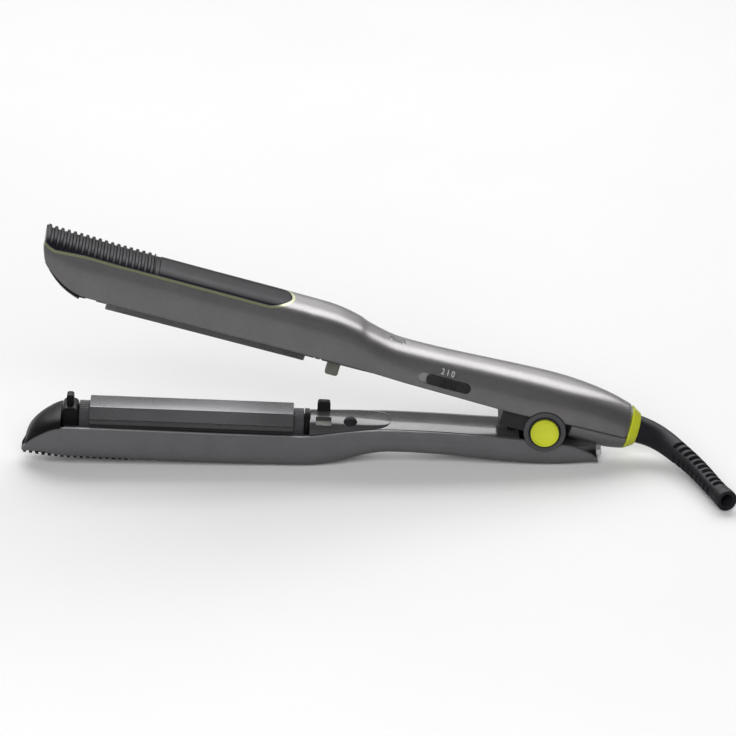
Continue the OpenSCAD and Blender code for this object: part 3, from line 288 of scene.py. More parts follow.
def table_z(u):
    return (-u * math.sin(tilt[LOWER]) - HINGE_H) / math.cos(tilt[LOWER])


# %% Smooth curves through points
def hermite(t, a, b, into, out, h=1):
    """Between a and b, with the slopes into and out at the two ends of a stretch h."""
    return (
        (2 * t**3 - 3 * t**2 + 1) * a
        + (t**3 - 2 * t**2 + t) * h * into
        + (3 * t**2 - 2 * t**3) * b
        + (t**3 - t**2) * h * out
    )


def curve(points, u):
    """Smooth curve through points that run from the nose to the tail."""
    i = 0
    while i < len(points) - 2 and u < points[i + 1][0]:
        i += 1
    a, b = points[i], points[i + 1]
    before, after = points[max(i - 1, 0)], points[min(i + 2, len(points) - 1)]
    h = b[0] - a[0]
    t = min(1, max(0, (u - a[0]) / h))
    into = (b[1] - before[1]) / (b[0] - before[0])
    out = (after[1] - a[1]) / (after[0] - a[0])
    return hermite(t, a[1], b[1], into, out, h)


# %% Measures along the arms, in mm
WALL = 1.8
SEAT = 0.1
BARREL_FRONT = 234
BARREL_REAR = 129
NOSE_START = 246.5
NOSE_TIP = NOSE_START + 29
UPPER_TIP = NOSE_TIP - 2.6
LOWER_TIP = NOSE_TIP - 6.5
BELLY = BARREL_REAR - 4
WAIST = 78
HALF_W = 16
TAIL_END = 42.5
TAIL_TIP = 28.6
OUTLET_Z = 7.9
OUTLET_R = 11.6
COVER_FRONT = BARREL_REAR - 5.4 - 0.3 - 2.6 - SEAT
PAD_END = 143
PAD_HALF_W = 12.5
PAD_RECESS = 1.8
CHEEK_R = 10.8
NOSE_ROUND, NOSE_BLUNT = 1.6, 0.86

# %% Where the rims run
rim_line = {
    UPPER: [
        (UPPER_TIP, 28), (UPPER_TIP - 2.5, 21.2), (UPPER_TIP - 6, 17.3), (UPPER_TIP - 13, 12.4),
        (UPPER_TIP - 19, 9.6), (UPPER_TIP - 24, 8.2), (UPPER_TIP - 29, 7.8), (BELLY, 7.8),
        (100, 7.2), (WAIST, 6), (50, 5.6), (27, 5.4), (10, 5.8), (-10, 6.9), (-TAIL_END, 5.8),
    ],
    LOWER: [
        (LOWER_TIP, -25), (NOSE_TIP - 11.3, -18.4), (NOSE_TIP - 18, -12.8),
        (NOSE_TIP - 23, -9.9), (NOSE_TIP - 28, -8.5), (NOSE_TIP - 33, -8.2), (180, -8.4),
        (BELLY, -8.4),
        (BELLY - 7, -8), (BELLY - 15, -6.8), (BELLY - 25, -5.5), (90, -4.5), (WAIST, -4.1),
        (54, -4.4), (34, -5.1), (14, -5.7), (0, -6.6), (-8, -7.6), (-15, -8.6), (-20, -10.4),
        (-25, -13.6), (-TAIL_TIP, -17.4),
    ],
}

# %% Where the crowns run
crown_line = {
    UPPER: [
        (UPPER_TIP, 32.8), (UPPER_TIP - 8, 32.4), (UPPER_TIP - 20, 31.9), (UPPER_TIP - 36, 31.1),
        (216, 30.8), (190, 30.5), (BELLY + 20, 30.3), (BELLY, 30.1), (BELLY - 8, 29.6),
        (BELLY - 14, 28.6), (BELLY - 20, 27.2), (102, 25.9), (96, 24.3), (90, 23), (85, 22.3),
        (WAIST, 22.1), (60, 22.4), (40, 23.2), (20, 24), (4, 24.4), (-10, 24.2), (-22, 23.5),
        (-32, 22.1), (-TAIL_END, OUTLET_Z + OUTLET_R),
    ],
    LOWER: [
        (LOWER_TIP, -27), (220, -27.2), (180, -27.3), (147, -27.2), (BELLY, -27),
        (BELLY - 9, -26.3), (BELLY - 18, -24.7), (BELLY - 29, -21.3), (87, -19.1),
        (WAIST, -18.2), (54, -18.6), (34, -19.9), (14, -21.3), (0, -21.8), (-12, -21.4),
        (-20, -20.5), (-TAIL_TIP, -19.2),
    ],
}

# %% How wide and how square the arms are
width_line = {
    UPPER: [
        (UPPER_TIP, 12.6), (UPPER_TIP - 2.5, 13.1), (UPPER_TIP - 6, 13.8), (UPPER_TIP - 13, 14.8),
        (UPPER_TIP - 19, 15.5), (UPPER_TIP - 26, HALF_W), (BELLY, HALF_W), (100, 15.2),
        (WAIST, 14.6), (40, 15.2), (10, 16.3), (-8, 16.2), (-25, 14.2), (-TAIL_END, OUTLET_R),
    ],
    LOWER: [
        (LOWER_TIP, 4.6), (NOSE_TIP - 8, 7), (NOSE_TIP - 11, 9.4), (NOSE_TIP - 15, 12),
        (NOSE_TIP - 20, 14.2), (NOSE_TIP - 25, 15.4), (NOSE_TIP - 31, HALF_W), (BELLY, HALF_W),
        (100, 15.3),
        (WAIST, 14.8), (40, 15), (10, 15.4), (-8, 15.3), (-20, 14.2), (-TAIL_TIP, 11.6),
    ],
}
square_line = [
    (UPPER_TIP, 3.2), (UPPER_TIP - 30, 4), (BELLY, 4), (WAIST, 3), (0, 3), (-TAIL_END, 2.1)
]
band_line = [
    (NOSE_TIP, 0.6), (200, 1.1), (BELLY, 1.1), (95, 4), (20, 3.6), (-10, 1.2), (-TAIL_TIP, 0.3)
]


# %% Width, hinge notch and crease at a place along an arm
def half_width(side, u):
    """Half width of an arm, with the tip of its nose rounded in plan."""
    w = curve(width_line[side], u)
    past = (UPPER_TIP if side == UPPER else LOWER_TIP) - u
    if past < NOSE_ROUND:
        w *= NOSE_BLUNT + (1 - NOSE_BLUNT) * math.sqrt(max(0, 1 - (1 - past / NOSE_ROUND) ** 2))
    return w


def notch(u):
    """The rims dip round the cheeks of the hinge."""
    r = CHEEK_R + 0.3
    return math.sqrt(r * r - u * u) if abs(u) < r else 0


def rim_drop(side, u):
    """Height between a shell's rim and the crease beside it."""
    rim, crown = curve(rim_line[side], u), curve(crown_line[side], u)
    if side == UPPER:
        return min(1, (crown - rim) * 0.2)
    return min(4.4, (rim - crown) * 0.3, curve(band_line, u))


def cover_half_w(side, u):
    return half_width(side, u) - WALL - 2 * SEAT - 0.3 * rim_drop(side, u)


print("upper arm", UPPER_TIP + TAIL_END, "mm long")

# %% [markdown]
# ## From rings to solids
# Almost every skin here is a loft: a row of rings, joined by quads, closed at both ends by a strip
# of quads. Rings are easy to control, and rings placed closer together round off an edge. Where a
# hole is needed, a boolean cuts it and its result is kept as the mesh.


# %% Steps along an arm and faces between rings
def steps(start, end, size):
    count = max(1, round(abs(end - start) / size))
    return [start + (end - start) * i / count for i in range(count)]


def loft_faces(rows, n, closed=False):
    """Quads between rings of n points, then a face over each end, or quads from end to end."""
    faces = [
        (i * n + j, i * n + (j + 1) % n, i * n + n + (j + 1) % n, i * n + n + j)
        for i in range(rows - 1) for j in range(n)
    ]
    last = (rows - 1) * n
    if closed:
        return faces + [(last + j, last + (j + 1) % n, (j + 1) % n, j) for j in range(n)]
    return faces + [tuple(range(n)), tuple(range(last, last + n))]


# %% Objects with even shading
MERGE_WITHIN = 3e-6


def smooth(mesh):
    mesh.polygons.foreach_set("use_smooth", [True] * len(mesh.polygons))


def crisp(o, degrees):
    """Splits the shading at edges that are sharper than the angle."""
    cut = o.modifiers.new("crisp_edges", "EDGE_SPLIT")
    cut.split_angle = math.radians(degrees)
    cut.use_edge_sharp = False


def mesh_object(name, points, faces, merge=0, marks=None):
    """An object whose faces all look outward, with a value at each point if marks has them."""
    mesh = bpy.data.meshes.new(name)
    mesh.from_pydata(points, [], faces)
    if marks is not None:
        mark = mesh.attributes.new("edge_near", "FLOAT", "POINT")
        mark.data.foreach_set("value", marks)
    b = bmesh.new()
    b.from_mesh(mesh)
    if merge:
        bmesh.ops.remove_doubles(b, verts=b.verts, dist=merge)
    bmesh.ops.recalc_face_normals(b, faces=b.faces)
    b.to_mesh(mesh)
    b.free()
    return linked(name, mesh)


# %% A piece on its body
def dressed(o, material, body, replaced, split):
    """Paints a piece, puts it on its body and hides the CAD nodes it stands for."""
    o.data.materials.append(material)
    smooth(o.data)
    crisp(o, split)
    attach(o, body)
    if replaced:
        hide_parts(*replaced)
    print(o.name, "on", body, "has", len(o.data.polygons), "faces")
    return o


def piece(name, points, faces, material, body, replaced, split=28, marks=None):
    """A mesh that rides on a body, stands for CAD nodes and shades smoothly up to an angle."""
    o = mesh_object(name, points, faces, MERGE_WITHIN, marks)
    return dressed(o, material, body, replaced, split)


# %% [markdown]
# ## The two shells
# Each arm is a moulded trough with an even wall. On the real tool they are painted metallic grey:
# their flanks stand nearly straight, turn into a flat crown by a soft shoulder, and end in a rim
# that leans in a little. The shell could be a CAD mesh with a subdivision surface, but the packed
# mesh is cut into triangles, which would ripple. So the section is worked out again with many
# points, with small radii at the rim, at the crease and round the recess of the grip pad.


# %% Section of a shell
SHOULDER = 26
PAD_FLOOR = [(1, 0.15), (0.998, 1), (0.9, 1), (0.75, 1), (0.55, 1), (0.35, 1), (0.15, 1), (0, 1)]
NECK = 0.9
END_R = 0.6
ENDS = (0, 0.04, 0.12, 0.25, 0.42, END_R)


def squared_point(w, height, n, t):
    """Point of a squared section in the direction t."""
    r = ((math.cos(t) / w) ** n + (math.sin(t) / height) ** n) ** (-1 / n)
    return (r * math.cos(t), r * math.sin(t))


def squared_y(w, height, n, h):
    return w * max(0.0, 1 - (max(0.0, h) / height) ** n) ** (1 / n)


def squared_h(w, height, n, y):
    return height * max(0.0, 1 - (min(1.0, y / w)) ** n) ** (1 / n)


# %% Recess for the grip pad
def pad_half(side, u):
    """Half width of the recess for the grip pad, round at its inner end."""
    past = PAD_END + PAD_HALF_W - u
    if past >= PAD_HALF_W:
        return 0.0
    most = min(half_width(side, u) * 0.9, PAD_HALF_W)
    return most * math.sqrt(1 - (max(0, past) / PAD_HALF_W) ** 2)


def section(side, u):
    """Half width, crease, height and squareness of a shell's section."""
    rim, crown = curve(rim_line[side], u), curve(crown_line[side], u)
    crease = rim + side * rim_drop(side, u)
    return half_width(side, u), crease, abs(crown - crease), curve(square_line, u)


# %% Half of a ring of a shell, outside and inside
def half_ring(side, u, inset, hollow_at):
    w, crease, height, n = section(side, u)
    low = rim_line[side]
    rim = max(curve(low, u), notch(u)) if side == UPPER else min(curve(low, u), -notch(u))
    rise = side * (rim - crease)
    w, height = w - inset, height - inset

    def outside(h):
        return w + h * 0.3 if h < 0 else squared_y(w, height, n, h)

    outer = [(outside(rise) - 0.5, rise), (outside(rise) - 0.15, rise + 0.12)]
    outer.append((outside(rise + 0.5), rise + 0.5))
    for h in (-0.3, -0.1, 0, 0.1, 0.3):
        h = max(h, rise + 0.5 + (h + 0.4) * 0.01)
        outer.append((outside(h), h))
    start = math.atan2(outer[-1][1], outer[-1][0])
    pad = pad_half(side, u)
    open_pad = pad > 0
    if not open_pad:
        pad = 0.35 * w * min(1, max(0, PAD_END - u) / 12)
    end = math.atan2(squared_h(w, height, n, pad), max(pad, 1e-4))
    for i in range(1, SHOULDER + 1):
        t = start + (end - start) * i / SHOULDER
        outer.append(squared_point(w, height, n, t))
    thick = WALL + PAD_RECESS
    hollow = max(0.4, (height - thick) * hollow_at)
    recess = min(PAD_RECESS, max(0, height - hollow - 0.4)) if open_pad else 0
    for share, sunk in PAD_FLOOR:
        y = pad * share
        outer.append((y, squared_h(w, height, n, y) - sunk * recess))
    inner = [(outside(rise) - WALL, rise)]
    inner_w = w - WALL
    start = math.atan2(max(0.3, rise), inner_w)
    for i in range(1, len(outer)):
        t = start + (math.pi / 2 - start) * i / (len(outer) - 1)
        inner.append(squared_point(inner_w, hollow, n, t))
    inner[-1] = (0, inner[-1][1])
    level = lambda h: crease + side * h
    return [(y, level(h)) for y, h in outer], [(y, level(h)) for y, h in inner]


# %% Whole rings and round ends
def mirrored(half):
    return half + [(-y, z) for y, z in reversed(half[:-1])]


def rounding(distance, r):
    """How far a surface draws back near its end, for an end edge of radius r."""
    return r - math.sqrt(r * r - (r - distance) ** 2) if distance < r else 0


def end_inset(side, distance, r):
    """Rounds a tail, and on the upper arm steps it in to leave a groove before the collar."""
    if side == UPPER:
        return 1.3 if distance < NECK + 0.01 else rounding(distance - NECK, 0.5)
    return rounding(distance, r)


# %% A shell
def shell(name, side, front, rear, rear_r, material, body):
    r = CHEEK_R + 0.3
    at = {front - d for d in ENDS} | {rear + d * rear_r / END_R for d in ENDS}
    at |= {PAD_END + PAD_HALF_W * (1 - math.cos(math.pi / 2 * i / 12)) for i in range(13)}
    at |= {PAD_END - 12 * (i / 6) ** 2 for i in range(7)} | {PAD_END + 1e-3}
    at |= {r * math.cos(math.radians(a)) for a in range(0, 181, 6)}
    at |= {r + d for d in (0.02, 0.3, 1)} | {-r - d for d in (0.02, 0.3, 1)}
    at |= set(steps(front - 1, PAD_END + PAD_HALF_W, 1.4)) | set(steps(PAD_END - 12, r + 1, 1.4))
    at |= set(steps(-r - 1, rear + 2, 1.2))
    if side == UPPER:
        at |= {rear + NECK + d for d in (0, 0.02, 0.1, 0.25, 0.5)}
    at = sorted(at, reverse=True)
    at = [u for i, u in enumerate(at) if i == 0 or at[i - 1] - u > 1e-4]
    points = []
    for u in at:
        inset = max(rounding(front - u, END_R), end_inset(side, u - rear, rear_r))
        fade = min(1, max(0, (front - u - WALL) / 4), max(0, (u - rear - WALL) / 3))
        outer, inner = half_ring(side, u, inset, fade)
        ring = mirrored(outer) + mirrored(inner)[::-1]
        if side == LOWER:
            ring = [(y, max(z, table_z(u))) for y, z in ring]
        points += [place(side, -u, y, z) for y, z in ring]
    n = len(ring)
    marks = edge_marks(side, front, points)
    print(name, len(at), "rings of", n)
    return piece(name, points, loft_faces(len(at), n), material, body, (name,),
                 marks=marks)


# %% Marks for the pale lime line round the pad
MARK_MOST = 10


def edge_marks(side, front, points):
    """MARK_MOST at the grip pad's outline, less by 1 for each millimetre away from it."""
    line = []
    for i in range(600):
        u = PAD_END + (front - PAD_END) * (i / 599) ** 1.6
        y = pad_half(side, u)
        w, crease, height, n = section(side, u)
        z = crease + side * squared_h(w, height, n, y)
        line += [place(side, -u, y, z), place(side, -u, -y, z)]
    line = numpy.array(line)
    points = numpy.array(points)
    far = numpy.full(len(points), 1.0)
    for i in range(0, len(points), 2000):
        block = points[i : i + 2000, None] - line[None]
        far[i : i + 2000] = numpy.sqrt((block**2).sum(2)).min(1)
    return numpy.maximum(0, MARK_MOST - 1000 * far)


# %% Pale lime line round the pad: lime colour with a painted edge highlight
def add_lime_line_and_highlight(material, near, far, colour):
    """A thin pale lime line, between two distances in mm from the pad's outline: lime colour made
    paler as a painted edge highlight.
    """
    tree = material.node_tree
    b = tree.nodes["Principled BSDF"]
    mark = add(tree, "ShaderNodeAttribute", attribute_name="edge_near")
    masks = []
    for edge, soft in ((MARK_MOST - near, -0.12), (MARK_MOST - far, 0.12)):
        m = add(tree, "ShaderNodeMapRange", **{"From Min": edge, "From Max": edge + soft})
        wire(tree, (mark, "Fac", m, "Value"))
        masks.append(m)
    both = add(tree, "ShaderNodeMath", operation="MULTIPLY")
    mix = add(tree, "ShaderNodeMix", data_type="RGBA")
    tree.links.new(b.inputs["Base Color"].links[0].from_socket, mix.inputs[6])
    mix.inputs[7].default_value = (*colour, 1)
    wire(tree, (masks[0], "Result", both, 0), (masks[1], "Result", both, 1),
         (both, 0, mix, "Factor"), (mix, 2, b, "Base Color"))


# The line is lime, made pale as a painted edge highlight.
add_lime_line_and_highlight(shell_paint, 0.3, 1.7, (0.68, 0.71, 0.42))

# %% Make the shells
upper_shell = shell("upper_shell", UPPER, UPPER_TIP, -TAIL_END, 0.9, shell_paint, "upper_arm")
lower_shell = shell("lower_shell", LOWER, LOWER_TIP, -TAIL_TIP, 0.5, shaded_lower_paint, "lower_arm")


# %% A second material on some faces
def repaint(o, material, chosen):
    """Gives a piece a further material on the faces for which the function chosen is true."""
    o.data.materials.append(material)
    index, count = len(o.data.materials) - 1, 0
    for f in o.data.polygons:
        if chosen(f):
            f.material_index = index
            count += 1
    print(o.name, material.name, "on", count, "faces")


# %% The hollow of the shells is painted black as painted shade
def shade_hollow_black(o, side):
    c, s = math.cos(tilt[side]), math.sin(tilt[side])

    def hollow(f):
        x, y, up = f.center.x * 1000, f.center.y * 1000, f.center.z * 1000 - HINGE_H
        u, z = -(x * c - up * s), x * s + up * c
        from_rim = z - curve(rim_line[side], u)
        facing = f.normal.y * y + (f.normal.x * s + f.normal.z * c) * from_rim
        return facing < -0.3 and abs(y) < half_width(side, u) - WALL + 0.2

    # Faces inside the hollow turn black: painted shade in the troughs.
    repaint(o, black_matt, hollow)


# %% [markdown]
# ## Openings in the shells
# The upper shell has a slot for the temperature slider, a window for the indicator lamp and the
# hole in which the cord outlet turns. The slot has a floor with a slit for the slider's stem, and
# where the slider leaves the floor open it is painted lighter, a painted highlight. The lower shell
# is open at its tail for the lock slider.
# Booleans cut them, because they cross the rings of the shells anywhere.


# %% Turned shapes
def spin(profile, sides, at, closed=False, dip=lambda r, a: 0):
    """A profile of (radius, height) turned round an axis, whose points the function at places."""
    points = []
    for r, h in profile:
        for k in range(sides):
            a = 2 * math.pi * k / sides
            out = r - dip(r, a)
            points.append(at(out * math.cos(a), out * math.sin(a), h))
    return points, loft_faces(len(profile), sides, closed)


def turned(side, z, profile, sides=64, closed=False, dip=lambda r, a: 0):
    """A profile of (radius, x) turned round an axis along an arm, at the height z."""
    return spin(profile, sides, lambda y, up, x: place(side, x, y, z + up), closed, dip)


# %% Outlines
def rounded_box(cx, cy, w, h, r, arc=6):
    """Outline of a rectangle with round corners."""
    out = []
    for k, (sx, sy) in enumerate(((1, 1), (-1, 1), (-1, -1), (1, -1))):
        for i in range(arc + 1):
            a = math.pi / 2 * (k + i / arc)
            out.append((cx + sx * (w / 2 - r) + r * math.cos(a),
                        cy + sy * (h / 2 - r) + r * math.sin(a)))
    return out


# %% Cutters, and cuts that last
def cutter(points, faces):
    return mesh_object("cutter", points, faces)


def prism(side, outline, low, high, across=False):
    """Cutter over an outline in an arm's x and y, or x and z when it goes across the arm."""
    points = []
    for level in (low, high):
        for p in outline:
            points.append(place(side, p[0], level, p[1]) if across else place(side, *p, level))
    return cutter(points, loft_faces(2, len(outline)))


def baked(o):
    """The mesh of an object as its modifiers leave it."""
    graph = bpy.context.evaluated_depsgraph_get()
    return bpy.data.meshes.new_from_object(o.evaluated_get(graph))


def settle(o, *modifiers):
    """Keeps what modifiers of (name, kind, settings) make of a piece as its mesh."""
    split = math.degrees(o.modifiers["crisp_edges"].split_angle)
    o.modifiers.clear()
    for name, kind, settings in modifiers:
        m = o.modifiers.new(name, kind)
        for key, value in settings.items():
            setattr(m, key, value)
    mesh = baked(o)
    o.modifiers.clear()
    o.data = mesh
    smooth(mesh)
    crisp(o, split)


def cut_out(o, *cutters):
    """Cuts the cutters out of a piece for good."""
    settle(o, *[("hole", "BOOLEAN", {"operation": "DIFFERENCE", "solver": "EXACT", "object": c})
                for c in cutters])
    for c in cutters:
        bpy.data.objects.remove(c)
    print(o.name, "faces after cutting", len(o.data.polygons))


# %% Cut the shells
SLOT_AT = 57
SLOT_Z = 11.7
SLOT_LEN = 28
SLOT_W = 5.6
SLIDE_TRAVEL = 4.2
SLOT_FLOOR = -13.4
KNOB_AT = -SLOT_AT + SLIDE_TRAVEL / 2
WINDOW_AT = 84.6
WINDOW_LEN, WINDOW_W, WINDOW_R = 8, 5, 1.2


def swivel_hole():
    x = TAIL_END
    return cutter(*turned(UPPER, OUTLET_Z,
                          [(6.9, x - 9), (6.9, x - 1.8), (5.05, x - 1.8), (5.05, x + 1)]))


cut_out(
    upper_shell,
    prism(UPPER, rounded_box(-SLOT_AT, SLOT_Z, SLOT_LEN, SLOT_W, SLOT_W / 2 - 0.01, 12),
          -20, SLOT_FLOOR, across=True),
    prism(UPPER, rounded_box(KNOB_AT - SLIDE_TRAVEL / 2, SLOT_Z, SLIDE_TRAVEL + 2.6, 2.6, 0.3),
          SLOT_FLOOR - 0.5, -8, across=True),
    prism(UPPER, rounded_box(-WINDOW_AT, 0, WINDOW_LEN + 0.3, WINDOW_W + 0.3, WINDOW_R), 12, 32),
    swivel_hole(),
)
LOCK_W, LOCK_TRAVEL = 8, 2.5
LOCK_X0, LOCK_Z0, LOCK_Z1 = 19, -17.6, -14.2
BEYOND_TAIL = 40
cut_out(
    lower_shell,
    prism(LOWER, rounded_box((LOCK_X0 - LOCK_TRAVEL - 0.3 + BEYOND_TAIL) / 2, 0,
                             BEYOND_TAIL - LOCK_X0 + LOCK_TRAVEL + 0.3, LOCK_W + 0.2, 0.3),
          LOCK_Z0 - 0.1, 0),
)

shade_hollow_black(upper_shell, UPPER)
shade_hollow_black(lower_shell, LOWER)

# %% Floor of the slot, painted lighter as a painted highlight
FLAT_ON, SAME_LEVEL = 0.999, 2e-5


def direction(side, x, y, z):
    """A direction of an arm's own frame, in the world."""
    return (Vector(place(side, x, y, z)) - Vector(place(side, 0, 0, 0))).normalized()


near_side = direction(UPPER, 0, -1, 0)
# The open part of the slot's floor gets that grey: a painted highlight.
repaint(upper_shell, slot_floor_highlight, lambda f: f.normal.dot(near_side) > FLAT_ON
        and abs(f.center.y - SLOT_FLOOR / 1000) < SAME_LEVEL)

# %% [markdown]
# ## Tail cover
# Behind the hinge the upper shell is closed from below by a second moulded half, which meets it in
# a fine dark seam. It is a trough like the shells, so it is lofted in the same way, with a small
# radius along the seam and at both ends.


# %% Tail cover
def shoulder(w, height, n, low, count=22):
    """Points of a squared section from the height low to the crown."""
    start = math.atan2(low, squared_y(w, height, n, low))
    out = []
    for i in range(count + 1):
        t = start + (math.pi / 2 - start) * i / count
        out.append(squared_point(w, height, n, t))
    return out[:-1] + [(0, height)]


TAIL_FRONT = 12.5
tail_low = [(-TAIL_FRONT, -2.8), (-20, -3.9), (-27, -4.6), (-33, -4.9), (-38, -4.5),
            (-TAIL_END, OUTLET_Z - OUTLET_R)]
at = {TAIL_FRONT + d for d in ENDS} | {TAIL_END - 1.5 * d for d in ENDS}
at = sorted(at | set(steps(TAIL_FRONT + 1, TAIL_END - 1, 1.2)))
points = []
for d in at:
    inset = max(rounding(d - TAIL_FRONT, END_R), rounding(TAIL_END - d, 0.9))
    w = curve(width_line[UPPER], -d) - inset
    rim = curve(rim_line[UPPER], -d) - SEAT
    height = rim - curve(tail_low, -d) - inset
    n = curve(square_line, -d) * 0.85
    seam = [(squared_y(w, height, n, h) - rounding(h, 0.4), h) for h in (0, 0.06, 0.18, 0.3)]
    half = seam + shoulder(w, height, n, 0.4)
    fade = min(1, max(0, (TAIL_END - 1.5 - d) / 3), max(0, (d - TAIL_FRONT - 1.5) / 3))
    deep = max(0.3, (height - WALL) * fade)
    hollow = shoulder(w - WALL, deep, n, 0, count=len(half) - 1)
    ring = mirrored([(y, rim - h) for y, h in half])
    ring += mirrored([(y, rim - h) for y, h in hollow])[::-1]
    points += [place(UPPER, d, y, z) for y, z in ring]
tail_cover = piece("upper_tail_cover", points, loft_faces(len(at), len(ring)), shell_paint,
                   "upper_arm", ("upper_tail_cover",))
cut_out(tail_cover, swivel_hole())

# %% [markdown]
# ## Grip pads
# A black pad lies in the back of each nose. Across its first part run 18 ribs for the fingers. They
# stand a little proud of the shell, and the grooves between them run out to the long edges. The
# rest of the pad is smooth and flush. The height of every point is worked out from its distance to
# the nearest rib and to the outline, so that the ribs follow the curved back.

# %% Ribbed pads
RIB_FIRST, RIB_PITCH, RIB_COUNT, RIB_DEEP = 1.4, 3.3, 18, 1.4
RIB_PROUD = 0.7
RIB_FOOT, RIB_SIDE = 0.6, 1.15
PAD_GAP = 0.15
PAD_MARGIN = 1.6


def soft_step(value, low, high):
    t = min(1, max(0, (value - low) / (high - low)))
    return t * t * (3 - 2 * t)


def groove(front, u):
    """Depth of the grooves at a distance along the arm."""
    i = min(RIB_COUNT - 1, max(0, round((front - RIB_FIRST - u) / RIB_PITCH)))
    off = front - RIB_FIRST - i * RIB_PITCH - u
    if i == RIB_COUNT - 1 and off > 0:
        i += 1
        off = abs(off - RIB_PITCH) if off < RIB_PITCH else 0
    return RIB_DEEP * soft_step(abs(off), RIB_FOOT, RIB_SIDE)


# %% A pad
def pad(name, side, front, body):
    front -= 0.3
    back = PAD_END + PAD_GAP
    r = PAD_HALF_W - PAD_GAP
    at = {front, front - 0.05, front - 0.15, front - 0.3, front - 0.6}
    for i in range(RIB_COUNT):
        mid = front - RIB_FIRST - i * RIB_PITCH
        at |= {mid + d for d in (-1.3, -1.05, -0.9, -0.75, -0.6, -0.3, 0.3, 0.6, 0.75, 0.9, 1.05)}
    last = front - RIB_FIRST - RIB_COUNT * RIB_PITCH
    at |= {last + d for d in (0, 0.6, 0.75, 0.9, 1.05, 1.3)}
    at |= set(steps(last - 1, back + r, 1.8))
    at |= {back + r * (1 - math.cos(math.pi / 2 * i / 16)) for i in range(1, 17)}
    at |= {back + d for d in (0.01, 0.05)}
    at = sorted(at, reverse=True)
    shares = (0.84, 0.68, 0.5, 0.25, 0)
    points = []
    for u in at:
        w, crease, height, n = section(side, u)
        past = back + r - u
        half = math.sqrt(max(1e-6, r * r - past * past)) if past > 0 else r
        half = min(half, pad_half(side, u) - PAD_GAP) if past <= 0 else half
        top, low = [], []
        for e in (0, 0.06, 0.2, 0.35, 0.5, 0.65, 0.8, 1.1, PAD_MARGIN):
            top.append(half - e * min(1, half / 6))
        top += [(half - PAD_MARGIN * min(1, half / 6)) * s for s in shares]
        out = []
        for y in top:
            edge = r - math.hypot(y, past) if past > 0 else half - y
            sunk = max(rounding(max(0, edge), 0.5), rounding(front - u, 1.2))
            sunk += groove(front, u)
            h = squared_h(w, height, n, y) + RIB_PROUD * soft_step(u, last + 0.6, last + 1.2)
            thick = min(PAD_RECESS - 0.3, max(0.5, height * 0.7))
            out.append((y, crease + side * (h - min(sunk, thick + 0.4))))
            low.append((y, crease + side * (squared_h(w, height, n, y) - thick)))
        ring = mirrored(out) + mirrored(low)[::-1]
        points += [place(side, -u, y, z) for y, z in ring]
    return piece(name, points, loft_faces(len(at), len(ring)), pad_plastic, body, (name,))


upper_pad = pad("upper_grip_pad", UPPER, UPPER_TIP, "upper_arm")
pad("lower_grip_pad", LOWER, LOWER_TIP, "lower_arm")
print("points of a pad", len(upper_pad.data.vertices))

# %% [markdown]
# ## Nose caps, inner covers and tongues
# Inside the shells sit glossy black parts: a cap like the bow of a boat at the tip, a long cover
# along the handle, and a rounded tongue that hides the bearing and the leads. Gloss shows every
# facet, so all three are lofted anew with small steps from the same curves.

# %% Nose caps
BRACKET_REACH = 2
cap_line = {
    LOWER: [
        (NOSE_TIP - 7.8, -22.6), (NOSE_TIP - 10, -15.6), (NOSE_TIP - 13, -11.4),
        (NOSE_TIP - 17, -8.1), (NOSE_TIP - 21, -5.8), (NOSE_TIP - 25, -3.8), (NOSE_START, -2.6),
    ],
    UPPER: [
        (UPPER_TIP - 2, 21.6), (UPPER_TIP - 3.4, 19.4), (UPPER_TIP - 7, 14.6),
        (UPPER_TIP - 12, 9.6), (UPPER_TIP - 17, 6.4), (UPPER_TIP - 23, 4), (NOSE_START, 3),
    ],
}


def nose_cap(name, side, front, body):
    back = NOSE_START + BRACKET_REACH + SEAT
    at = [front, front - 0.4, front - 0.8, front - 1.4] + steps(front - 2, back, 1) + [back]
    points = []
    for u in at:
        w, rim, drop = half_width(side, u), curve(rim_line[side], u), rim_drop(side, u)
        rise = max(0.6, abs(curve(cap_line[side], u) - rim))
        inside = cover_half_w(side, u) - 3 * SEAT
        height = abs(curve(crown_line[side], u) - rim) - drop
        tip = UPPER_TIP if side == UPPER else LOWER_TIP
        fade = min(1, max(0, (tip - u - WALL) / 4))
        lip = min(2, drop + 0.5 * max(0.4, (height - WALL - PAD_RECESS) * fade))
        half = [(y, rim - side * (h + SEAT)) for y, h in shoulder(w - 0.4, rise, 2.3, 0)]
        ring = mirrored(half)
        for y, z in ((-1, 2 * SEAT), (-0.985, lip), (0.985, lip), (1, 2 * SEAT)):
            ring.append((inside * y, rim + side * z))
        points += [place(side, -u, y, z) for y, z in ring]
    return piece(name, points, loft_faces(len(at), len(ring)), cap_black, body, (name,))


nose_cap("upper_nose_cap", UPPER, UPPER_TIP - 3, "upper_arm")
nose_cap("lower_nose_cap", LOWER, LOWER_TIP - 2.1, "lower_arm")

# %% Inner covers
COVER_CROWN, COVER_T = 0.7, 1.8
LEAD_TURN = COVER_FRONT - 16.6
LEAD_HALF = 2
POST_R = 2
POSTS = [(u, y) for u in (36, LEAD_TURN - 12) for y in (6, -6)]


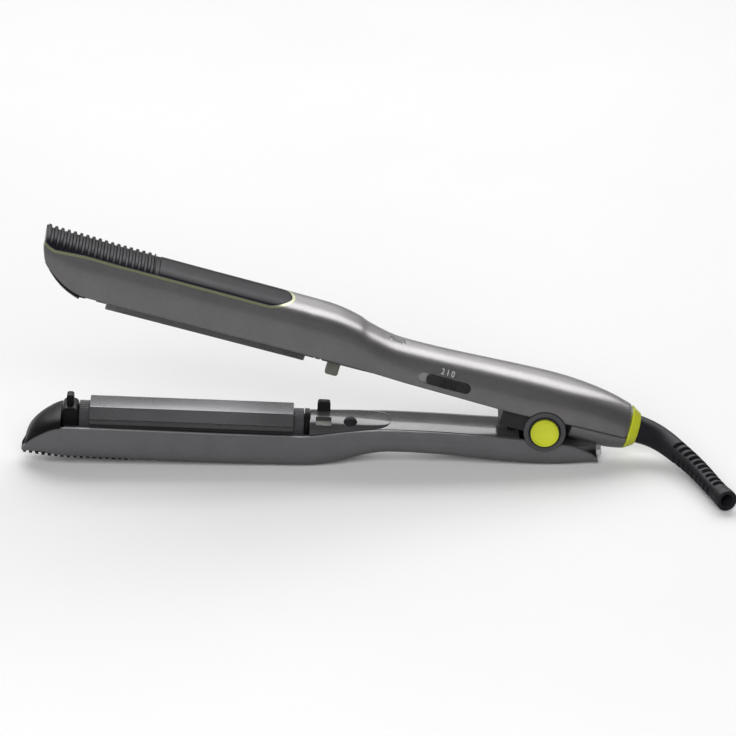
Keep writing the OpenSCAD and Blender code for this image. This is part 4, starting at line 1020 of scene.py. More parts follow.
def inner_cover(name, side, rear, body):
    at = steps(COVER_FRONT, rear, 1.6) + [rear]
    shares = [1, 0.997, 0.985, 0.96, 0.92, 0.85, 0.75, 0.6, 0.45, 0.3, 0.15, 0]
    points = []
    for u in at:
        w, rim = cover_half_w(side, u), curve(rim_line[side], u)
        face, back = [], []
        for s in shares:
            y = w * s
            z = rim - side * COVER_CROWN * (1 - s * s)
            face.append((y, z + side * rounding(w - y, 0.4)))
            back.append((y, z + side * COVER_T))
        ring = mirrored(face) + mirrored(back)[::-1]
        points += [place(side, -u, y, z) for y, z in ring]
    o = piece(name, points, loft_faces(len(at), len(ring)), smoke_gloss, body, (name,))
    x0, x1 = -COVER_FRONT - 1, -(LEAD_TURN - LEAD_HALF)
    lead_notch = prism(side, rounded_box((x0 + x1) / 2, 0, x1 - x0, 2 * LEAD_HALF, 0.1), -30, 30)
    return o, lead_notch


lower_cover, notch_cut = inner_cover("lower_inner_cover", LOWER, 12.6, "lower_arm")
SCREW_AT = 16.5
screw_hole = prism(LOWER, rounded_box(-SCREW_AT, 0, 3, 3, 1.49, 12), -30, 30)
cut_out(lower_cover, notch_cut, screw_hole)
upper_cover, notch_cut = inner_cover("upper_inner_cover", UPPER, 23.8, "upper_arm")
cut_out(upper_cover, notch_cut)


# %% Posts under the upper cover
def joined(o, extra_points, extra_faces):
    """Adds a shape to a piece's mesh."""
    b = bmesh.new()
    b.from_mesh(o.data)
    new = [b.verts.new(p) for p in extra_points]
    made = [b.faces.new([new[i] for i in f]) for f in extra_faces]
    for f in made:
        f.smooth = True
    bmesh.ops.recalc_face_normals(b, faces=made)
    b.to_mesh(o.data)
    b.free()


for u, y in POSTS:
    foot = curve(rim_line[UPPER], u) + COVER_CROWN - 0.3
    profile = [(POST_R, foot), (POST_R, 9.9), (POST_R * 0.92, 10.1)]
    joined(upper_cover, *spin(profile, 32, lambda dx, dy, z: place(UPPER, -u + dx, y + dy, z)))

# %% Tongues
TONGUE_END = COVER_FRONT - 42
JAW_Z = 1
tongue_width = [(COVER_FRONT, 13), (COVER_FRONT - 20.6, 12.4), (TONGUE_END + 12.4, 11.6),
                (TONGUE_END + 7.4, 10.6), (TONGUE_END + 3.4, 8.6), (TONGUE_END + 1.2, 6),
                (TONGUE_END, 2.6)]
tongue_top = [(COVER_FRONT, 2.9), (COVER_FRONT - 20.6, 3), (TONGUE_END + 10.4, 3.2),
              (TONGUE_END, 3.5)]
TAB_AT, TAB_LEN, TAB_T, TAB_Y = COVER_FRONT - 7.1, 6.8, 3, 5.2
tab_over = {LOWER: 2, UPPER: 3.4}


# %% Heights of a tongue
def tongue_base(side, u, y):
    over = COVER_CROWN * (1 - (y / cover_half_w(side, u)) ** 2)
    return curve(rim_line[side], u) - side * (over + SEAT)


def tongue_face(side, u):
    room = side * (tongue_base(side, u, 0) - JAW_Z)
    full = curve(tongue_top, u)
    past = min(1, (u - TONGUE_END) / 9)
    return room - max(0.15, (room - full) * math.sqrt(1 - (1 - past) ** 2))


# %% A tongue with a socket and a pocket
def tongue(name, side, body):
    at = [COVER_FRONT, COVER_FRONT - 0.15, COVER_FRONT - 0.4] + steps(COVER_FRONT - 1, 100, 1.3)
    at += steps(100, TONGUE_END + 6, 0.9) + steps(TONGUE_END + 6, TONGUE_END + 0.6, 0.5)
    at += [TONGUE_END + 0.3, TONGUE_END + 0.1, TONGUE_END]
    points = []
    for u in at:
        w, face_z = curve(tongue_width, u), JAW_Z + side * tongue_face(side, u)
        face_z += side * rounding(COVER_FRONT - u, 0.4)
        half = []
        for i in range(25):
            s = math.cos(math.pi / 2 * (i / 24) ** 0.8)
            h = (1 - s**2.3) ** (1 / 2.3)
            base = tongue_base(side, u, s * w)
            half.append((s * w, base + (face_z - base) * h))
        low = [(y, tongue_base(side, u, y)) for y in (w * s for s in numpy.linspace(0.96, 0, 25))]
        ring = mirrored(half) + mirrored(low)[::-1]
        points += [place(side, -u, y, z) for y, z in ring]
    o = piece(name, points, loft_faces(len(at), len(ring)), smoke_gloss, body, (name,),
              split=40)
    foot = JAW_Z + side * (tongue_face(side, TAB_AT) + 2 + SEAT)
    own_y = (TAB_Y + TAB_T / 2) * (1 if side == LOWER else -1)
    socket = prism(side, rounded_box(-TAB_AT, own_y, TAB_LEN + 0.2, TAB_T + 0.2, 0.1),
                   min(foot, foot - side * 9), max(foot, foot - side * 9))
    top = JAW_Z + side * (tab_over[-side] + 1.2)
    wide = TAB_T + (4.4 if side == LOWER else 1.2)
    pocket = prism(side, rounded_box(-TAB_AT, -own_y, TAB_LEN + 1.2, wide, 0.4),
                   min(top, JAW_Z - side * 20), max(top, JAW_Z - side * 20))
    return o, socket, pocket, top


# %% Lower tongue before its cuts
lower_tongue, socket, pocket, floor_z = tongue("lower_bearing_cover", LOWER, "lower_arm")
LOWER_AXIS, UPPER_AXIS = -7.15, 9.15
BUMPER_AT, BUMPER_Y, BUMPER_R = COVER_FRONT - 20.9, -6.6, 3.4


# %% Ways through the tongues
def lead_way(side, axis_z):
    x0, x1 = -COVER_FRONT - 1, -(LEAD_TURN - LEAD_HALF)
    return prism(side, rounded_box((x0 + x1) / 2, 0, x1 - x0, 2 * LEAD_HALF, 0.1),
                 axis_z - LEAD_HALF, axis_z + LEAD_HALF)


def bumper_points(profile, sides=48):
    """Points of a lathe profile at the bumper, which leans to the near side."""
    lean = math.radians(30)
    z0 = JAW_Z - tongue_face(LOWER, BUMPER_AT) - 1.3
    return spin(profile, sides, lambda x, y, h: place(
        LOWER, -BUMPER_AT + x, BUMPER_Y + y * math.cos(lean) - h * math.sin(lean),
        z0 + y * math.sin(lean) + h * math.cos(lean)))


# %% Cut the tongues
bumper_hole = cutter(*bumper_points([(BUMPER_R + 0.15, -0.1), (BUMPER_R + 0.15, 9)]))
cut_out(lower_tongue, socket, pocket, lead_way(LOWER, LOWER_AXIS), bumper_hole)
up, on_floor = direction(LOWER, 0, 0, 1), Vector(place(LOWER, -TAB_AT, 0, floor_z))
repaint(lower_tongue, tab_olive, lambda f: f.normal.dot(up) > FLAT_ON
        and abs((f.center - on_floor).dot(up)) < SAME_LEVEL)
upper_tongue, socket, pocket, floor_z = tongue("upper_bearing_cover", UPPER, "upper_arm")
cut_out(upper_tongue, socket, pocket, lead_way(UPPER, UPPER_AXIS))

# %% Rubber bumper
DOME_WALL, DOME_RISE = 1.2, 1.7
dome = [(0.01, 0), (BUMPER_R, 0)]
ball = (BUMPER_R**2 + DOME_RISE**2) / (2 * DOME_RISE)
top = math.asin(BUMPER_R / ball)
dome += [(BUMPER_R - 0.12 * s, DOME_WALL - 0.25 * (1 - s)) for s in (0, 0.4)]
for i in range(15):
    a = top * (1 - 0.04 - i / 14 * 0.95)
    dome.append((ball * math.sin(a), DOME_WALL + DOME_RISE - ball * (1 - math.cos(a))))
points, faces = bumper_points(dome)
piece("lower_bumper", points, faces, soft_rubber, "lower_arm", ("lower_bumper",))

# %% [markdown]
# ## The turning barrels
# A barrel is an extruded bar with three faces: one smooth, one with deep waves and one with fine
# crimps, all running lengthwise, and its corners are cut flat. Its coating is dark and satin, so
# the small radii at the ridges show as thin bright lines. The section is worked out as a polygon,
# its corners are rounded, and it is carried along the bar, with its bore inside.

# %% Section of a barrel
FACE_R, CORNER_R, BORE_R = 8, 11, 3.7
FACE_HALF = math.sqrt(CORNER_R**2 - FACE_R**2)
BARREL_FACES = [(180, 0, 0), (300, 3, 1.8), (60, 6, 0.9)]
WAVE_STEPS, CORNER_CLEAR = 16, 0.45


def rounded_corner(before, at, after, r=0.95, count=6):
    """Points of a small arc in place of a corner of the section."""
    before, at, after = Vector(before), Vector(at), Vector(after)
    reach = r * math.tan(math.radians(30))
    a = at + (before - at).normalized() * reach
    b = at + (after - at).normalized() * reach
    out = []
    for i in range(count + 1):
        t = i / count
        p = a * (1 - t) ** 2 + at * (2 * t * (1 - t)) + b * t**2
        out.append((p.x, p.y))
    return out


def face_point(turn, along, deep):
    r, t = FACE_R - deep, math.radians(turn)
    return (r * math.cos(t) - along * math.sin(t), r * math.sin(t) + along * math.cos(t))


# %% Outline of the section
outline = []
for i, (turn, waves, deep) in enumerate(BARREL_FACES):
    last, following = BARREL_FACES[i - 1][0], BARREL_FACES[(i + 1) % 3][0]
    first, end = face_point(turn, -FACE_HALF, 0), face_point(turn, FACE_HALF, 0)
    outline += rounded_corner(face_point(last, FACE_HALF, 0), first, face_point(turn, 0, 0))
    for k in range(1, waves * WAVE_STEPS):
        s = k / (waves * WAVE_STEPS)
        along = (2 * s - 1) * FACE_HALF
        if abs(along) < FACE_HALF - CORNER_CLEAR:
            dip = deep * (1 - math.cos(2 * math.pi * s * waves)) / 2
            outline.append(face_point(turn, along, dip))
    outline += rounded_corner(face_point(turn, 0, 0), end, face_point(following, -FACE_HALF, 0))
print("points of the section", len(outline))


# %% Barrels
def barrel(name, side, axis_z, body):
    rows = []
    for x, scale in ((0, 0), (0, 0.965), (0.07, 0.985), (0.25, 1)):
        rows.append((-BARREL_FRONT + x, scale))
    rows += [(-BARREL_FRONT - BARREL_REAR - x, s) for x, s in reversed(rows)]
    points = []
    for x, scale in rows:
        for p in outline:
            s = scale if scale else BORE_R / math.hypot(*p)
            points.append(place(side, x, p[1] * s, axis_z + side * p[0] * s))
    faces = loft_faces(len(rows), len(outline), closed=True)
    return piece(name, points, faces, barrel_coat, body, (name,), split=50)


ARMS = ((LOWER, "lower", LOWER_AXIS), (UPPER, "upper", UPPER_AXIS))
for side, word, axis_z in ARMS:
    barrel(word + "_barrel", side, axis_z, word + "_rotor")

# %% [markdown]
# ## Collars of the barrels
# At each end a round collar turns with the barrel. Fine flutes round its edge give the fingers a
# hold where the collar stands free of the shell. It is a lathe shape whose radius goes in and out.


# %% Fluted collars
COLLAR_R, COLLAR_LEN = 7.6, 5.4
FLUTES, FLUTE_DEEP, FLUTE_FROM = 36, 0.32, 7.2


def flute(r, a):
    return FLUTE_DEEP * (1 - math.cos(a * FLUTES)) / 2 if r > FLUTE_FROM else 0


def collar(name, side, axis_z, body, front, pin_r, pin_x, bore):
    """Profile from the bore over the barrel's end and the rim to the journal."""
    end = -front
    out = -1 if front > 200 else 1
    far = end + out * COLLAR_LEN
    profile = [(bore, end), (COLLAR_R - 0.4, end), (COLLAR_R - 0.1, end + out * 0.15),
               (COLLAR_R, end + out * 0.4), (COLLAR_R, far - out * 0.5),
               (COLLAR_R - 0.15, far - out * 0.2), (COLLAR_R - 0.5, far), (pin_r, far),
               (pin_r, pin_x - out * 0.2), (pin_r - 0.2, pin_x), (bore, pin_x)]
    points, faces = turned(side, axis_z, profile, 144, closed=True, dip=flute)
    piece(name, points, faces, ring_plastic, body, (name,), split=50)


for side, word, axis_z in ARMS:
    body = word + "_rotor"
    collar(word + "_front_collar", side, axis_z, body, BARREL_FRONT, 2.5, -NOSE_START + 1, 0.02)
    collar(word + "_rear_collar", side, axis_z, body, BARREL_REAR, 4, -COVER_FRONT - 0.2, 1.8)

# %% [markdown]
# ## Bearings and lock slider
# The front bearing of each barrel is a block with rounded shoulders. The lower one carries a tab,
# and the upper one has room for that tab when the jaw closes. The rear bearing is a round disc
# between the barrel's collar and the cover. The lock slider at the tail is a bar with a pale thumb
# piece, and the bar is painted black as painted shade inside the tail. Bearing blocks and slider
# are drawn as outlines with round corners, given their thickness and beveled, which is how such
# moulded blocks look.


# %% Beveled blocks from an outline
ROUND_EDGE_ANGLE = math.radians(40)


def round_edges(o, width):
    """Rounds the sharp edges of a piece for good, by a width in mm."""
    settle(o, ("soft_edges", "BEVEL", {"width": width / 1000, "segments": 3,
                                       "limit_method": "ANGLE", "angle_limit": ROUND_EDGE_ANGLE}))


def block(name, side, outline, half, material, body, slot, bevel):
    """Part of a piece: an outline along an arm, given a thickness and small round edges."""
    points = [place(side, p[0], y, p[1]) for y in (-half, half) for p in outline]
    o = piece(name, points, loft_faces(2, len(outline)), material, body, (), split=34)
    round_edges(o, bevel)
    return o


def pieces_joined(name, parts, material, body, replaced, split=34):
    """One piece out of several meshes, whose objects are used up."""
    b = bmesh.new()
    for o in parts:
        b.from_mesh(o.data)
    mesh = bpy.data.meshes.new(name)
    b.to_mesh(mesh)
    b.free()
    o = linked(name, mesh)
    for part in parts:
        bpy.data.objects.remove(part)
    return dressed(o, material, body, replaced, split)


# %% Front bearings
BEARING_NEAR = 239.8
BEARING_HALF = 7.4
BORE = 2.55
TAB_HALF = 3
TAB_MID, TAB_RUN = -244.2, 3.8


def front_bearing(name, side, axis_z, body, near, far, top, foot, tab=None):
    """Head with round shoulders, bored for the collar's pin. It has a tab, or room for one."""
    outline = rounded_box(-(near + far) / 2, (top + foot) / 2, far - near, abs(top - foot), 2.6, 8)
    head = block(name + "_head", side, outline, BEARING_HALF, cap_black, body, "dark_gloss", 1.1)
    holes = [cutter(*turned(side, axis_z, [(BORE, -far + 1), (BORE, -near + 2)]))]
    parts = [head]
    if tab:
        x0, x1, low, high = tab
        outline = rounded_box((x0 + x1) / 2, (low + high) / 2, x1 - x0, high - low, 1.3, 8)
        parts.append(block(name + "_tab", side, outline, TAB_HALF, cap_black, body, "dark_gloss",
                           0.5))
    else:
        holes.append(prism(side, rounded_box(TAB_MID, 0, TAB_RUN + 1.2, 2 * TAB_HALF + 1.2, 0.3),
                           -5, tab_high + 0.5))
    cut_out(head, *holes)
    return pieces_joined(name, parts, cap_black, body, (name,))


def node_reach(name, axis):
    """How far a CAD node reaches along an axis of the world, in mm."""
    o = nodes[name]
    return max((o.matrix_world @ Vector(c))[axis] for c in o.bound_box) * 1000


c, s = math.cos(tilt[LOWER]), math.sin(tilt[LOWER])
tab_high = (node_reach("lower_front_bearing", 2) - HINGE_H - 244 * s) / c
print("top of the tab, arm frame", round(tab_high, 2))
front_bearing("lower_front_bearing", LOWER, LOWER_AXIS, "lower_arm", BEARING_NEAR, 248.2, -0.7, -15,
              tab=(-246.1, -242.3, -4, tab_high))
front_bearing("upper_front_bearing", UPPER, UPPER_AXIS, "upper_arm", 243.4, 250, 3.6, 17)

# %% Rear bearings
for side, word, axis_z in ARMS:
    x0, x1 = -BARREL_REAR + COLLAR_LEN + 0.3, -COVER_FRONT - SEAT
    profile = [(4.05, x0), (7.4, x0), (7.6, x0 + 0.15), (7.7, x0 + 0.4), (7.7, x1 - 0.3),
               (7.5, x1), (4.05, x1)]
    name = word + "_rear_bearing"
    points, faces = turned(side, axis_z, profile, 96, closed=True)
    piece(name, points, faces, cap_black, word + "_arm", (name,), split=50)

# %% Lock slider: a pale thumb piece and a bar painted black as painted shade
lock_end = node_reach("lock_slider", 0) / math.cos(tilt[LOWER]) - 0.4
THUMB_FROM = lock_end - 2.6
shaded_bar_box = rounded_box((LOCK_X0 + THUMB_FROM) / 2, (LOCK_Z0 + LOCK_Z1) / 2 - 0.5,
                      THUMB_FROM - LOCK_X0, LOCK_Z1 - LOCK_Z0 - 1, 0.3, 4)
thumb_box = rounded_box((THUMB_FROM + lock_end) / 2, (LOCK_Z0 + LOCK_Z1) / 2,
                        lock_end - THUMB_FROM, LOCK_Z1 - LOCK_Z0, 1, 8)
# The bar's black is painted shade inside the tail.
bar = block("lock_shaded_bar", LOWER, shaded_bar_box, LOCK_W / 2, cap_black, "lock", "dark_gloss", 0.2)
thumb = block("lock_thumb", LOWER, thumb_box, LOCK_W / 2, pale_satin, "lock", "pale_grey", 0.5)
lock = pieces_joined("lock_slider", [bar, thumb], cap_black, "lock", ("lock_slider",))
# Faces past pale_from get the thumb's pale colour, and the rest stays black as painted shade.
pale_from = THUMB_FROM * math.cos(tilt[LOWER]) - 0.8
repaint(lock, pale_satin, lambda f: f.center.x * 1000 > pale_from)

# %% [markdown]
# ## Hinge
# A lime cap closes each end of the hinge pin. It is dished, with a raised rim that catches the
# light, and a thin black ring parts it from the grey cheek. Both are lathe shapes.


# %% Caps and rings of the hinge
CHEEK_OUT, CAP_R = 16.6, 7.3
cap = [(CAP_R, 0), (CAP_R, 1.85), (7.22, 2.12), (7.05, 2.3), (6.83, 2.36), (6.62, 2.28),
       (6.45, 2.1), (6.3, 1.85)]
cap += [(6.1 * s, 0.7 + 1.0 * s * s) for s in (1, 0.9, 0.8, 0.65, 0.5, 0.35, 0.2, 0.08)]
ring = [(7.4, 0), (8.4, 0), (8.4, 0.5), (8.32, 0.64), (8.15, 0.7), (7.65, 0.7), (7.48, 0.64),
        (7.4, 0.5)]
for name, profile, closed, material, slot in (
    ("hinge_caps", cap, False, lime_gloss, "lime"),
    ("hinge_cap_rings", ring, True, soft_rubber, "soft_rubber"),
):
    both_points, both_faces = [], []
    for out in (-1, 1):
        points, faces = spin(profile, 96, lambda x, z, h: place(UPPER, x, out * (CHEEK_OUT + h), z),
                             closed)
        both_faces += [tuple(i + len(both_points) for i in f) for f in faces]
        both_points += points
    piece(name, both_points, both_faces, material, "upper_arm", (name,), split=40)

# %% Cover screw with a cross
screw_z = curve(rim_line[LOWER], SCREW_AT) + COVER_CROWN + 0.1
head = [(1.4, -9), (1.4, 0), (2.7, 0), (2.7, 0.4), (2.6, 0.62), (2.3, 0.8)]
points, faces = spin(head, 48, lambda x, y, h: place(LOWER, -SCREW_AT + x, y, screw_z + h))
screw = piece("cover_screw", points, faces, dark_steel, "lower_arm", ("cover_screw",))
cut_out(screw, *[
    prism(LOWER, rounded_box(-SCREW_AT, 0, w, d, 0.1), screw_z + 0.3, screw_z + 2)
    for w, d in ((3.2, 0.7), (0.7, 3.2))
])

# %% Spring of the hinge
WIRE_R, COIL_R, TURNS = 0.7, 4, 4
TURN_STEPS, WIRE_SIDES = 28, 10
rings = TURNS * TURN_STEPS + 1
points = []
for i in range(rings):
    a = 2 * math.pi * i / TURN_STEPS
    y = (a / (2 * math.pi) - TURNS / 2) * (2 * WIRE_R + 0.9)
    for k in range(WIRE_SIDES):
        t = 2 * math.pi * k / WIRE_SIDES
        r = COIL_R + WIRE_R * math.cos(t)
        points.append(place(LOWER, r * math.cos(a), y + WIRE_R * math.sin(t), r * math.sin(a)))
piece("hinge_spring", points, loft_faces(rings, WIRE_SIDES), bright_steel, "lower_arm",
      ("hinge_spring",))

# %% [markdown]
# ## Slider, window and number
# The temperature slider is a small black lozenge with a few fine ribs for the thumb. Above it the
# highest temperature is printed. The number is a text object made into a mesh and laid on the
# curved side point by point, so that it hugs the shell as print does.

# %% Temperature slider
KNOB_HALF = (SLOT_LEN - SLIDE_TRAVEL - 0.2 - SLOT_W) / 2
KNOB_R = SLOT_W / 2 - 0.2
KNOB_BASE, KNOB_FACE = SLOT_FLOOR - 0.1, -15.55
KNOB_RIB, KNOB_RIB_PITCH, KNOB_RIBS_TO = 0.6, 0.95, 4.3
xs = [KNOB_HALF + KNOB_R * math.sin(math.radians(a)) for a in (89, 80, 70, 60, 48, 36, 24, 12)]
xs = [-x for x in xs] + steps(-KNOB_HALF, KNOB_HALF, 0.2) + [KNOB_HALF] + xs[::-1]
points = []
for x in xs:
    past = max(0, abs(x) - KNOB_HALF)
    half = math.sqrt(max(0.001, KNOB_R**2 - past**2))
    edge = rounding(KNOB_HALF + KNOB_R - abs(x), 0.4)
    ribbed = abs(x) < KNOB_RIBS_TO
    rib = KNOB_RIB * max(0, math.cos(math.pi * x / KNOB_RIB_PITCH)) if ribbed else 0
    lift = KNOB_FACE + edge - rib
    ring = [(-half, KNOB_BASE), (-half, KNOB_FACE + 0.4),
            (-half + min(0.12, half / 2), lift + 0.12), (-half + min(0.4, half), lift)]
    ring += [(-z, y) for z, y in reversed(ring)]
    points += [place(UPPER, KNOB_AT + x, y, SLOT_Z + z) for z, y in ring]
knob = piece("temperature_slider", points, loft_faces(len(xs), len(ring)), black_matt, "slider",
             ("temperature_slider",), split=40)
stem = [(KNOB_AT + sx, SLOT_Z + sz) for sx, sz in ((-1, -1), (1, -1), (1, 1), (-1, 1))]
points = [place(UPPER, x, y, z) for y in (KNOB_BASE + 0.2, -9.3) for x, z in stem]
joined(knob, points, loft_faces(2, len(stem)))

# %% Indicator window
points = []
levels = [(1, 0.25), (0.985, 0.08), (0.95, 0.01), (0.85, 0), (0.6, 0), (0.3, 0), (0.01, 0)]
window = rounded_box(0, 0, WINDOW_LEN, WINDOW_W, WINDOW_R, 6)
for scale, sunk in levels:
    for x, y in window:
        u = WINDOW_AT - x * scale
        w, crease, height, n = section(UPPER, u)
        top = crease + squared_h(w, height, n, abs(y * scale)) - sunk
        points.append(place(UPPER, -u, y * scale, top))
points = [place(UPPER, -WINDOW_AT + x, y, 20) for x, y in window] + points
piece("indicator_lens", points, loft_faces(len(levels) + 1, len(window)), window_clear,
      "upper_arm", ("indicator_lens",))

# %% Number above the slider
NUMBER_FROM, NUMBER_LEN, NUMBER_LOW, NUMBER_TALL = 60.0, 7.0, 9.1, 3.1
PRINT_STEP, PRINT_LIFT = 0.05, 0.07
text = bpy.data.curves.new("number", "FONT")
text.body = "210"
text.space_character = 1.4
text.offset = 0.004
text.resolution_u = 6
holder = linked("number", text)
flat = baked(holder)
bpy.data.objects.remove(holder)
xs, ys = [v.co.x for v in flat.vertices], [v.co.y for v in flat.vertices]
b = bmesh.new()
b.from_mesh(flat)
bmesh.ops.subdivide_edges(b, edges=b.edges, cuts=1)
for v in b.verts:
    u = NUMBER_FROM - NUMBER_LEN * (v.co.x - min(xs)) / (max(xs) - min(xs))
    up_by = NUMBER_TALL * (v.co.y - min(ys)) / (max(ys) - min(ys))
    w, crease, height, n = section(UPPER, u)
    h, left = NUMBER_LOW, up_by
    while left > 0:
        y = squared_y(w, height, n, h)
        rise = min(PRINT_STEP, left)
        slope = (squared_y(w, height, n, h + 0.01) - y) / 0.01
        h += rise / math.hypot(1, slope)
        left -= rise
    y = squared_y(w, height, n, h) + PRINT_LIFT
    v.co = Vector(place(UPPER, -u, -y, crease + h))
b.to_mesh(flat)
b.free()
flat.materials.clear()
flat.materials.append(white_print)
number = linked("temperature_number", flat)
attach(number, "upper_arm")

# %% [markdown]
# ## Cord outlet
# A lime collar ends the handle. From it a soft strain relief comes out and droops to the table. Its
# first part is smooth. Then three rows of slots let it bend, one of them set half a step from the
# other two. The slots are pressed into the surface by pulling its points in where a slot lies.

# %% Tail collar
x0 = TAIL_END + SEAT
profile = [(7.8, x0), (11.1, x0), (11.38, x0 + 0.12), (11.4, x0 + 0.4), (10.65, x0 + 1.6),
           (9.8, x0 + 3), (8.9, x0 + 4.5), (8.62, x0 + 4.95), (8.4, x0 + 5.15), (8.1, x0 + 5.2),
           (7.8, x0 + 4.9)]
points, faces = turned(UPPER, OUTLET_Z, profile, 128, closed=True)
piece("tail_collar", points, faces, lime_gloss, "upper_arm", ("tail_collar",), split=40)

# %% Path of the strain relief, in mm in the world
tail_tilt = tilt[UPPER]
ALONG = numpy.array((math.cos(tail_tilt), 0, -math.sin(tail_tilt)))
start = numpy.array(place(UPPER, TAIL_END + 0.3, 0, OUTLET_Z)) * 1000
run = [(12.5, 1.8, -3.7), (19, 6.5, -5.9), (25.2, 14.9, -7.8), (31.2, 25.3, -9.2),
       (36.6, 37.6, -10.1), (41, 50.2, -10.7), (44.1, 58.8, -10.9), (46, 64.1, -11)]
relief_line = [start, start + 6 * ALONG] + [start + numpy.array((x, -y, z)) for x, y, z in run]


def bend(t):
    last = len(relief_line) - 1
    i = min(last - 1, int(t * last))
    f = t * last - i
    a, b = relief_line[i], relief_line[i + 1]
    into = (b - relief_line[max(0, i - 1)]) / (2 if i else 1)
    out = (relief_line[min(last, i + 2)] - a) / (2 if i + 2 <= last else 1)
    return hermite(f, a, b, into, out)


FINE = 1200
fine_line = numpy.array([bend(i / FINE) for i in range(FINE + 1)])
lengths = numpy.concatenate(
    ([0], numpy.cumsum(numpy.linalg.norm(numpy.diff(fine_line, axis=0), axis=1)))
)
relief_len = lengths[-1]
headings = numpy.gradient(fine_line, axis=0)
headings /= numpy.linalg.norm(headings, axis=1)[:, None]
print("length of the strain relief", round(float(relief_len), 1), "mm")

# %% Slots of the strain relief
RELIEF_R0, RELIEF_R1 = 7.7, 5.1
SLOT_FIRST, SLOT_PITCH, SLOT_COUNT = 33.8, 4.95, 10
SLOT_HALF, SLOT_TURN, SLOT_ARC = 1.35, math.radians(46), math.radians(44)
RELIEF_SIDES, RELIEF_BORE, SMOOTH_LEN = 120, 2.6, 28
SLOT_ROUND = 6
front_side = numpy.array((0, -math.cos(VIEW_UP), math.sin(VIEW_UP)))


def slot_depth(s, turn):
    """How deep a slot is at a length along the relief and an angle round it."""
    deepest = 0
    for row in range(3):
        off = (turn - SLOT_TURN - row * 2 * math.pi / 3 + math.pi) % (2 * math.pi) - math.pi
        shift = min(row, 1)
        first = SLOT_FIRST + shift * SLOT_PITCH / 2
        i = min(SLOT_COUNT - 1 - shift, max(0, round((s - first) / SLOT_PITCH)))
        past = abs(s - first - i * SLOT_PITCH)
        r = SLOT_HALF / SLOT_ROUND
        side_way = max(0, abs(off) - SLOT_ARC + r)
        out = math.hypot(past, side_way * SLOT_ROUND) if side_way else past
        deepest = max(deepest, 1 - soft_step(out, SLOT_HALF - 0.18, SLOT_HALF + 0.12))
    return deepest


# %% A ring of the strain relief
def relief_ring(centre, d, radius_at):
    e0 = front_side - d * front_side.dot(d)
    e0 /= numpy.linalg.norm(e0)
    e1 = numpy.cross(d, e0)
    if e1[2] < 0:
        e1 = -e1
    out = []
    for k in range(RELIEF_SIDES):
        a = 2 * math.pi * k / RELIEF_SIDES
        p = centre + radius_at(a) * (math.cos(a) * e0 + math.sin(a) * e1)
        out.append(tuple(p / 1000))
    return out


# %% Strain relief
flare = relief_len - 4
stations = steps(0, SMOOTH_LEN, 1.5) + steps(SMOOTH_LEN, flare, 0.29) + steps(flare, relief_len, 1)
points = []
for s in stations:
    i = int(numpy.searchsorted(lengths, s).clip(0, FINE))
    r = RELIEF_R1 + (RELIEF_R0 - RELIEF_R1) * (1 - min(1, i / FINE / 0.8)) ** 1.6
    r += 0.35 * soft_step(s, flare, relief_len)
    deep = min(2.0, r - 3.1)
    points += relief_ring(fine_line[i], headings[i],
                          lambda a: r - deep * slot_depth(s, a) if s > SMOOTH_LEN else r)
tip, d = fine_line[-1], headings[-1]
for r, x in ((5.45, 0), (5.45, 3.2), (5.38, 3.7), (5.15, 4), (4.6, 4), (4.3, 3.85), (4.1, 3.4),
             (3.3, 3.2), (RELIEF_BORE, 0)):
    points += relief_ring(tip + d * x, d, lambda a: r)
for i in range(1190, -1, -35):
    points += relief_ring(fine_line[i], headings[i], lambda a: RELIEF_BORE)
faces = loft_faces(len(points) // RELIEF_SIDES, RELIEF_SIDES, closed=True)
relief = piece("strain_relief", points, faces, soft_rubber, "cord_guard", ("strain_relief",),
               split=50)
print("points of the relief", len(relief.data.vertices))

# %% [markdown]
# ## Rigid pieces that keep their CAD mesh
# The liners, the hinge's block and yoke, the guide tabs and all that is inside are right as they
# are: plain turned or moulded pieces. Real edges are never razor sharp, so each gets a small bevel
# that catches light, and the shading is split at the edges that remain sharp. The yoke is grey on
# its two cheeks, and its bridge between them is painted black as painted shade between the arms.


# %% Dress the kept nodes
def dress(material, *names, bevel=0.15):
    for name in names:
        o = nodes[name]
        o.data.materials.clear()
        o.data.materials.append(material)
        smooth(o.data)
        if bevel:
            edge = o.modifiers.new("soft_edges", "BEVEL")
            edge.width = bevel / 1000
            edge.segments = 2
            edge.limit_method = "ANGLE"
            edge.angle_limit = math.radians(35)
        crisp(o, 34)


CHEEK_IN = 13
KEPT = [
    (black_matt, ["lower_liner", "upper_liner"], 0.15),
    (ring_plastic, ["lower_hinge_block", "hinge_yoke"], 0.5),
    (black_matt, ["slide_switch", "swivel_core"], 0.2),
    (tab_olive, ["upper_guide_tab"], 0.3),
    (black_gloss, ["lower_guide_tab"], 0.3),
    (fired_clay, ["lower_heater", "upper_heater", "thermal_fuse"], 0.2),
    (bright_steel, ["hinge_pin"], 0.2),
    (board_green, ["circuit_board"], 0.1),
    (lead_white, ["lower_leads", "upper_leads"], 0),
    (lamp_red, ["indicator_led"], 0.2),
]
for material, names, bevel in KEPT:
    dress(material, *names, bevel=bevel)
yoke = nodes["hinge_yoke"]
# The bridge between the cheeks turns black: painted shade between the arms.
repaint(yoke, black_matt, lambda f: abs((yoke.matrix_world @ f.center).y) < CHEEK_IN / 1000)

# %% [markdown]
# ## Floor and light
# A product on white: a nearly white floor, a large soft lamp above and behind, and a second one in
# front that reflections do not show. The room is bright above and behind and dim in front, which
# draws the bright line along the arms. Only the camera sees plain white in its place. Reflections
# see a floor that is dark in front and bright behind, which the camera does not, and that deepens
# the dark bands on the flanks.

# %% Levels of the studio
WALL_TURN = math.radians(48)
ROOM_DARK = 0.55
ROOM_BRIGHT = 2.8
FLOOR_DARK, FLOOR_BRIGHT = 0.2, 0.9

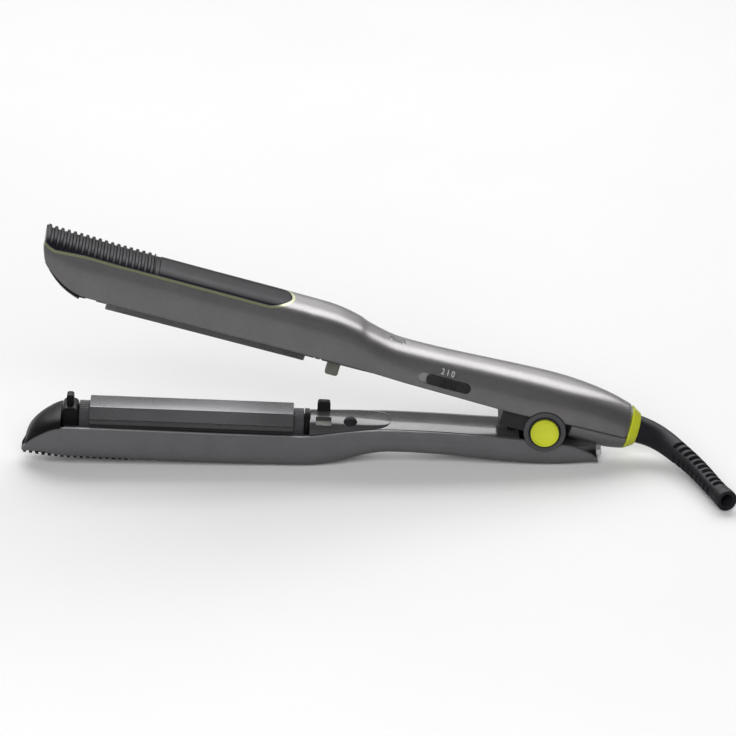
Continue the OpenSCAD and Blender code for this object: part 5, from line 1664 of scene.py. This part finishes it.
# %% Floor
FLOOR_HALF = 3.0
floor_mesh = bpy.data.meshes.new("floor")
floor_mesh.from_pydata(
    [(x * FLOOR_HALF, y * FLOOR_HALF, 0) for x, y in ((-1, -1), (1, -1), (1, 1), (-1, 1))],
    [],
    [(0, 1, 2, 3)],
)
floor = linked("floor", floor_mesh)
floor_mesh.materials.append(
    finish("floor_white", grey(0.88), grey(0.90), (0.55, 0.65), cloud_size=200)
)

# %% What the finishes mirror: the floor is dark in front of the tool and bright behind it
tree = floor_mesh.materials[0].node_tree
where = add(tree, "ShaderNodeTexCoord")
parts = add(tree, "ShaderNodeSeparateXYZ")
behind = add(tree, "ShaderNodeMapRange", interpolation_type="SMOOTHSTEP",
             **{"From Min": -0.02, "From Max": 0.12, "To Min": FLOOR_DARK,
                "To Max": FLOOR_BRIGHT})
shown = add(tree, "ShaderNodeMix", data_type="RGBA")
ray = tree.nodes.new("ShaderNodeLightPath")
shader = tree.nodes["Principled BSDF"]
tree.links.new(shader.inputs["Base Color"].links[0].from_socket, shown.inputs[6])
wire(tree, (where, "Object", parts, 0), (parts, "Y", behind, "Value"),
     (ray, "Is Glossy Ray", shown, "Factor"), (behind, "Result", shown, 7),
     (shown, 2, shader, "Base Color"))

# %% World: bright above and behind, dark in front, white to the camera
world = bpy.data.worlds.new("studio")
world.use_nodes = True
bpy.context.scene.world = world
sky = world.node_tree
room_light = sky.nodes["Background"]
where = add(sky, "ShaderNodeTexCoord")
toward = add(sky, "ShaderNodeVectorMath", operation="DOT_PRODUCT")
toward.inputs[1].default_value = (0, math.sin(WALL_TURN), math.cos(WALL_TURN))
fade = add(sky, "ShaderNodeMapRange", interpolation_type="SMOOTHSTEP",
           **{"From Min": 0.2, "From Max": 0.8, "To Min": ROOM_DARK, "To Max": ROOM_BRIGHT})
seen = add(sky, "ShaderNodeBackground", Strength=1.0)
seen.inputs["Color"].default_value = (1, 1, 1, 1)
rays = sky.nodes.new("ShaderNodeLightPath")
choose = sky.nodes.new("ShaderNodeMixShader")
wire(sky, (where, "Generated", toward, 0), (toward, "Value", fade, "Value"),
     (fade, "Result", room_light, "Strength"), (rays, "Is Camera Ray", choose, "Fac"),
     (room_light, 0, choose, 1), (seen, 0, choose, 2),
     (choose, 0, sky.nodes["World Output"], "Surface"))


# %% Lamps
def lamp(name, spot, size, power):
    data = bpy.data.lights.new(name, "AREA")
    data.shape = "RECTANGLE"
    data.size, data.size_y = size
    data.energy = power
    o = linked(name, data)
    o.location = spot
    o.rotation_euler = (Vector(spot) - Vector((-0.1, 0, 0.05))).to_track_quat("Z", "Y").to_euler()
    return o


lamp("top_softbox", (-0.1, 0.8, 1.0), (2.0, 1.1), 17)
front = lamp("front_softbox", (-0.2, -1.5, 1.0), (1.6, 1.0), 30)
front.visible_glossy = False
bpy.context.scene.view_settings.view_transform = "Standard"
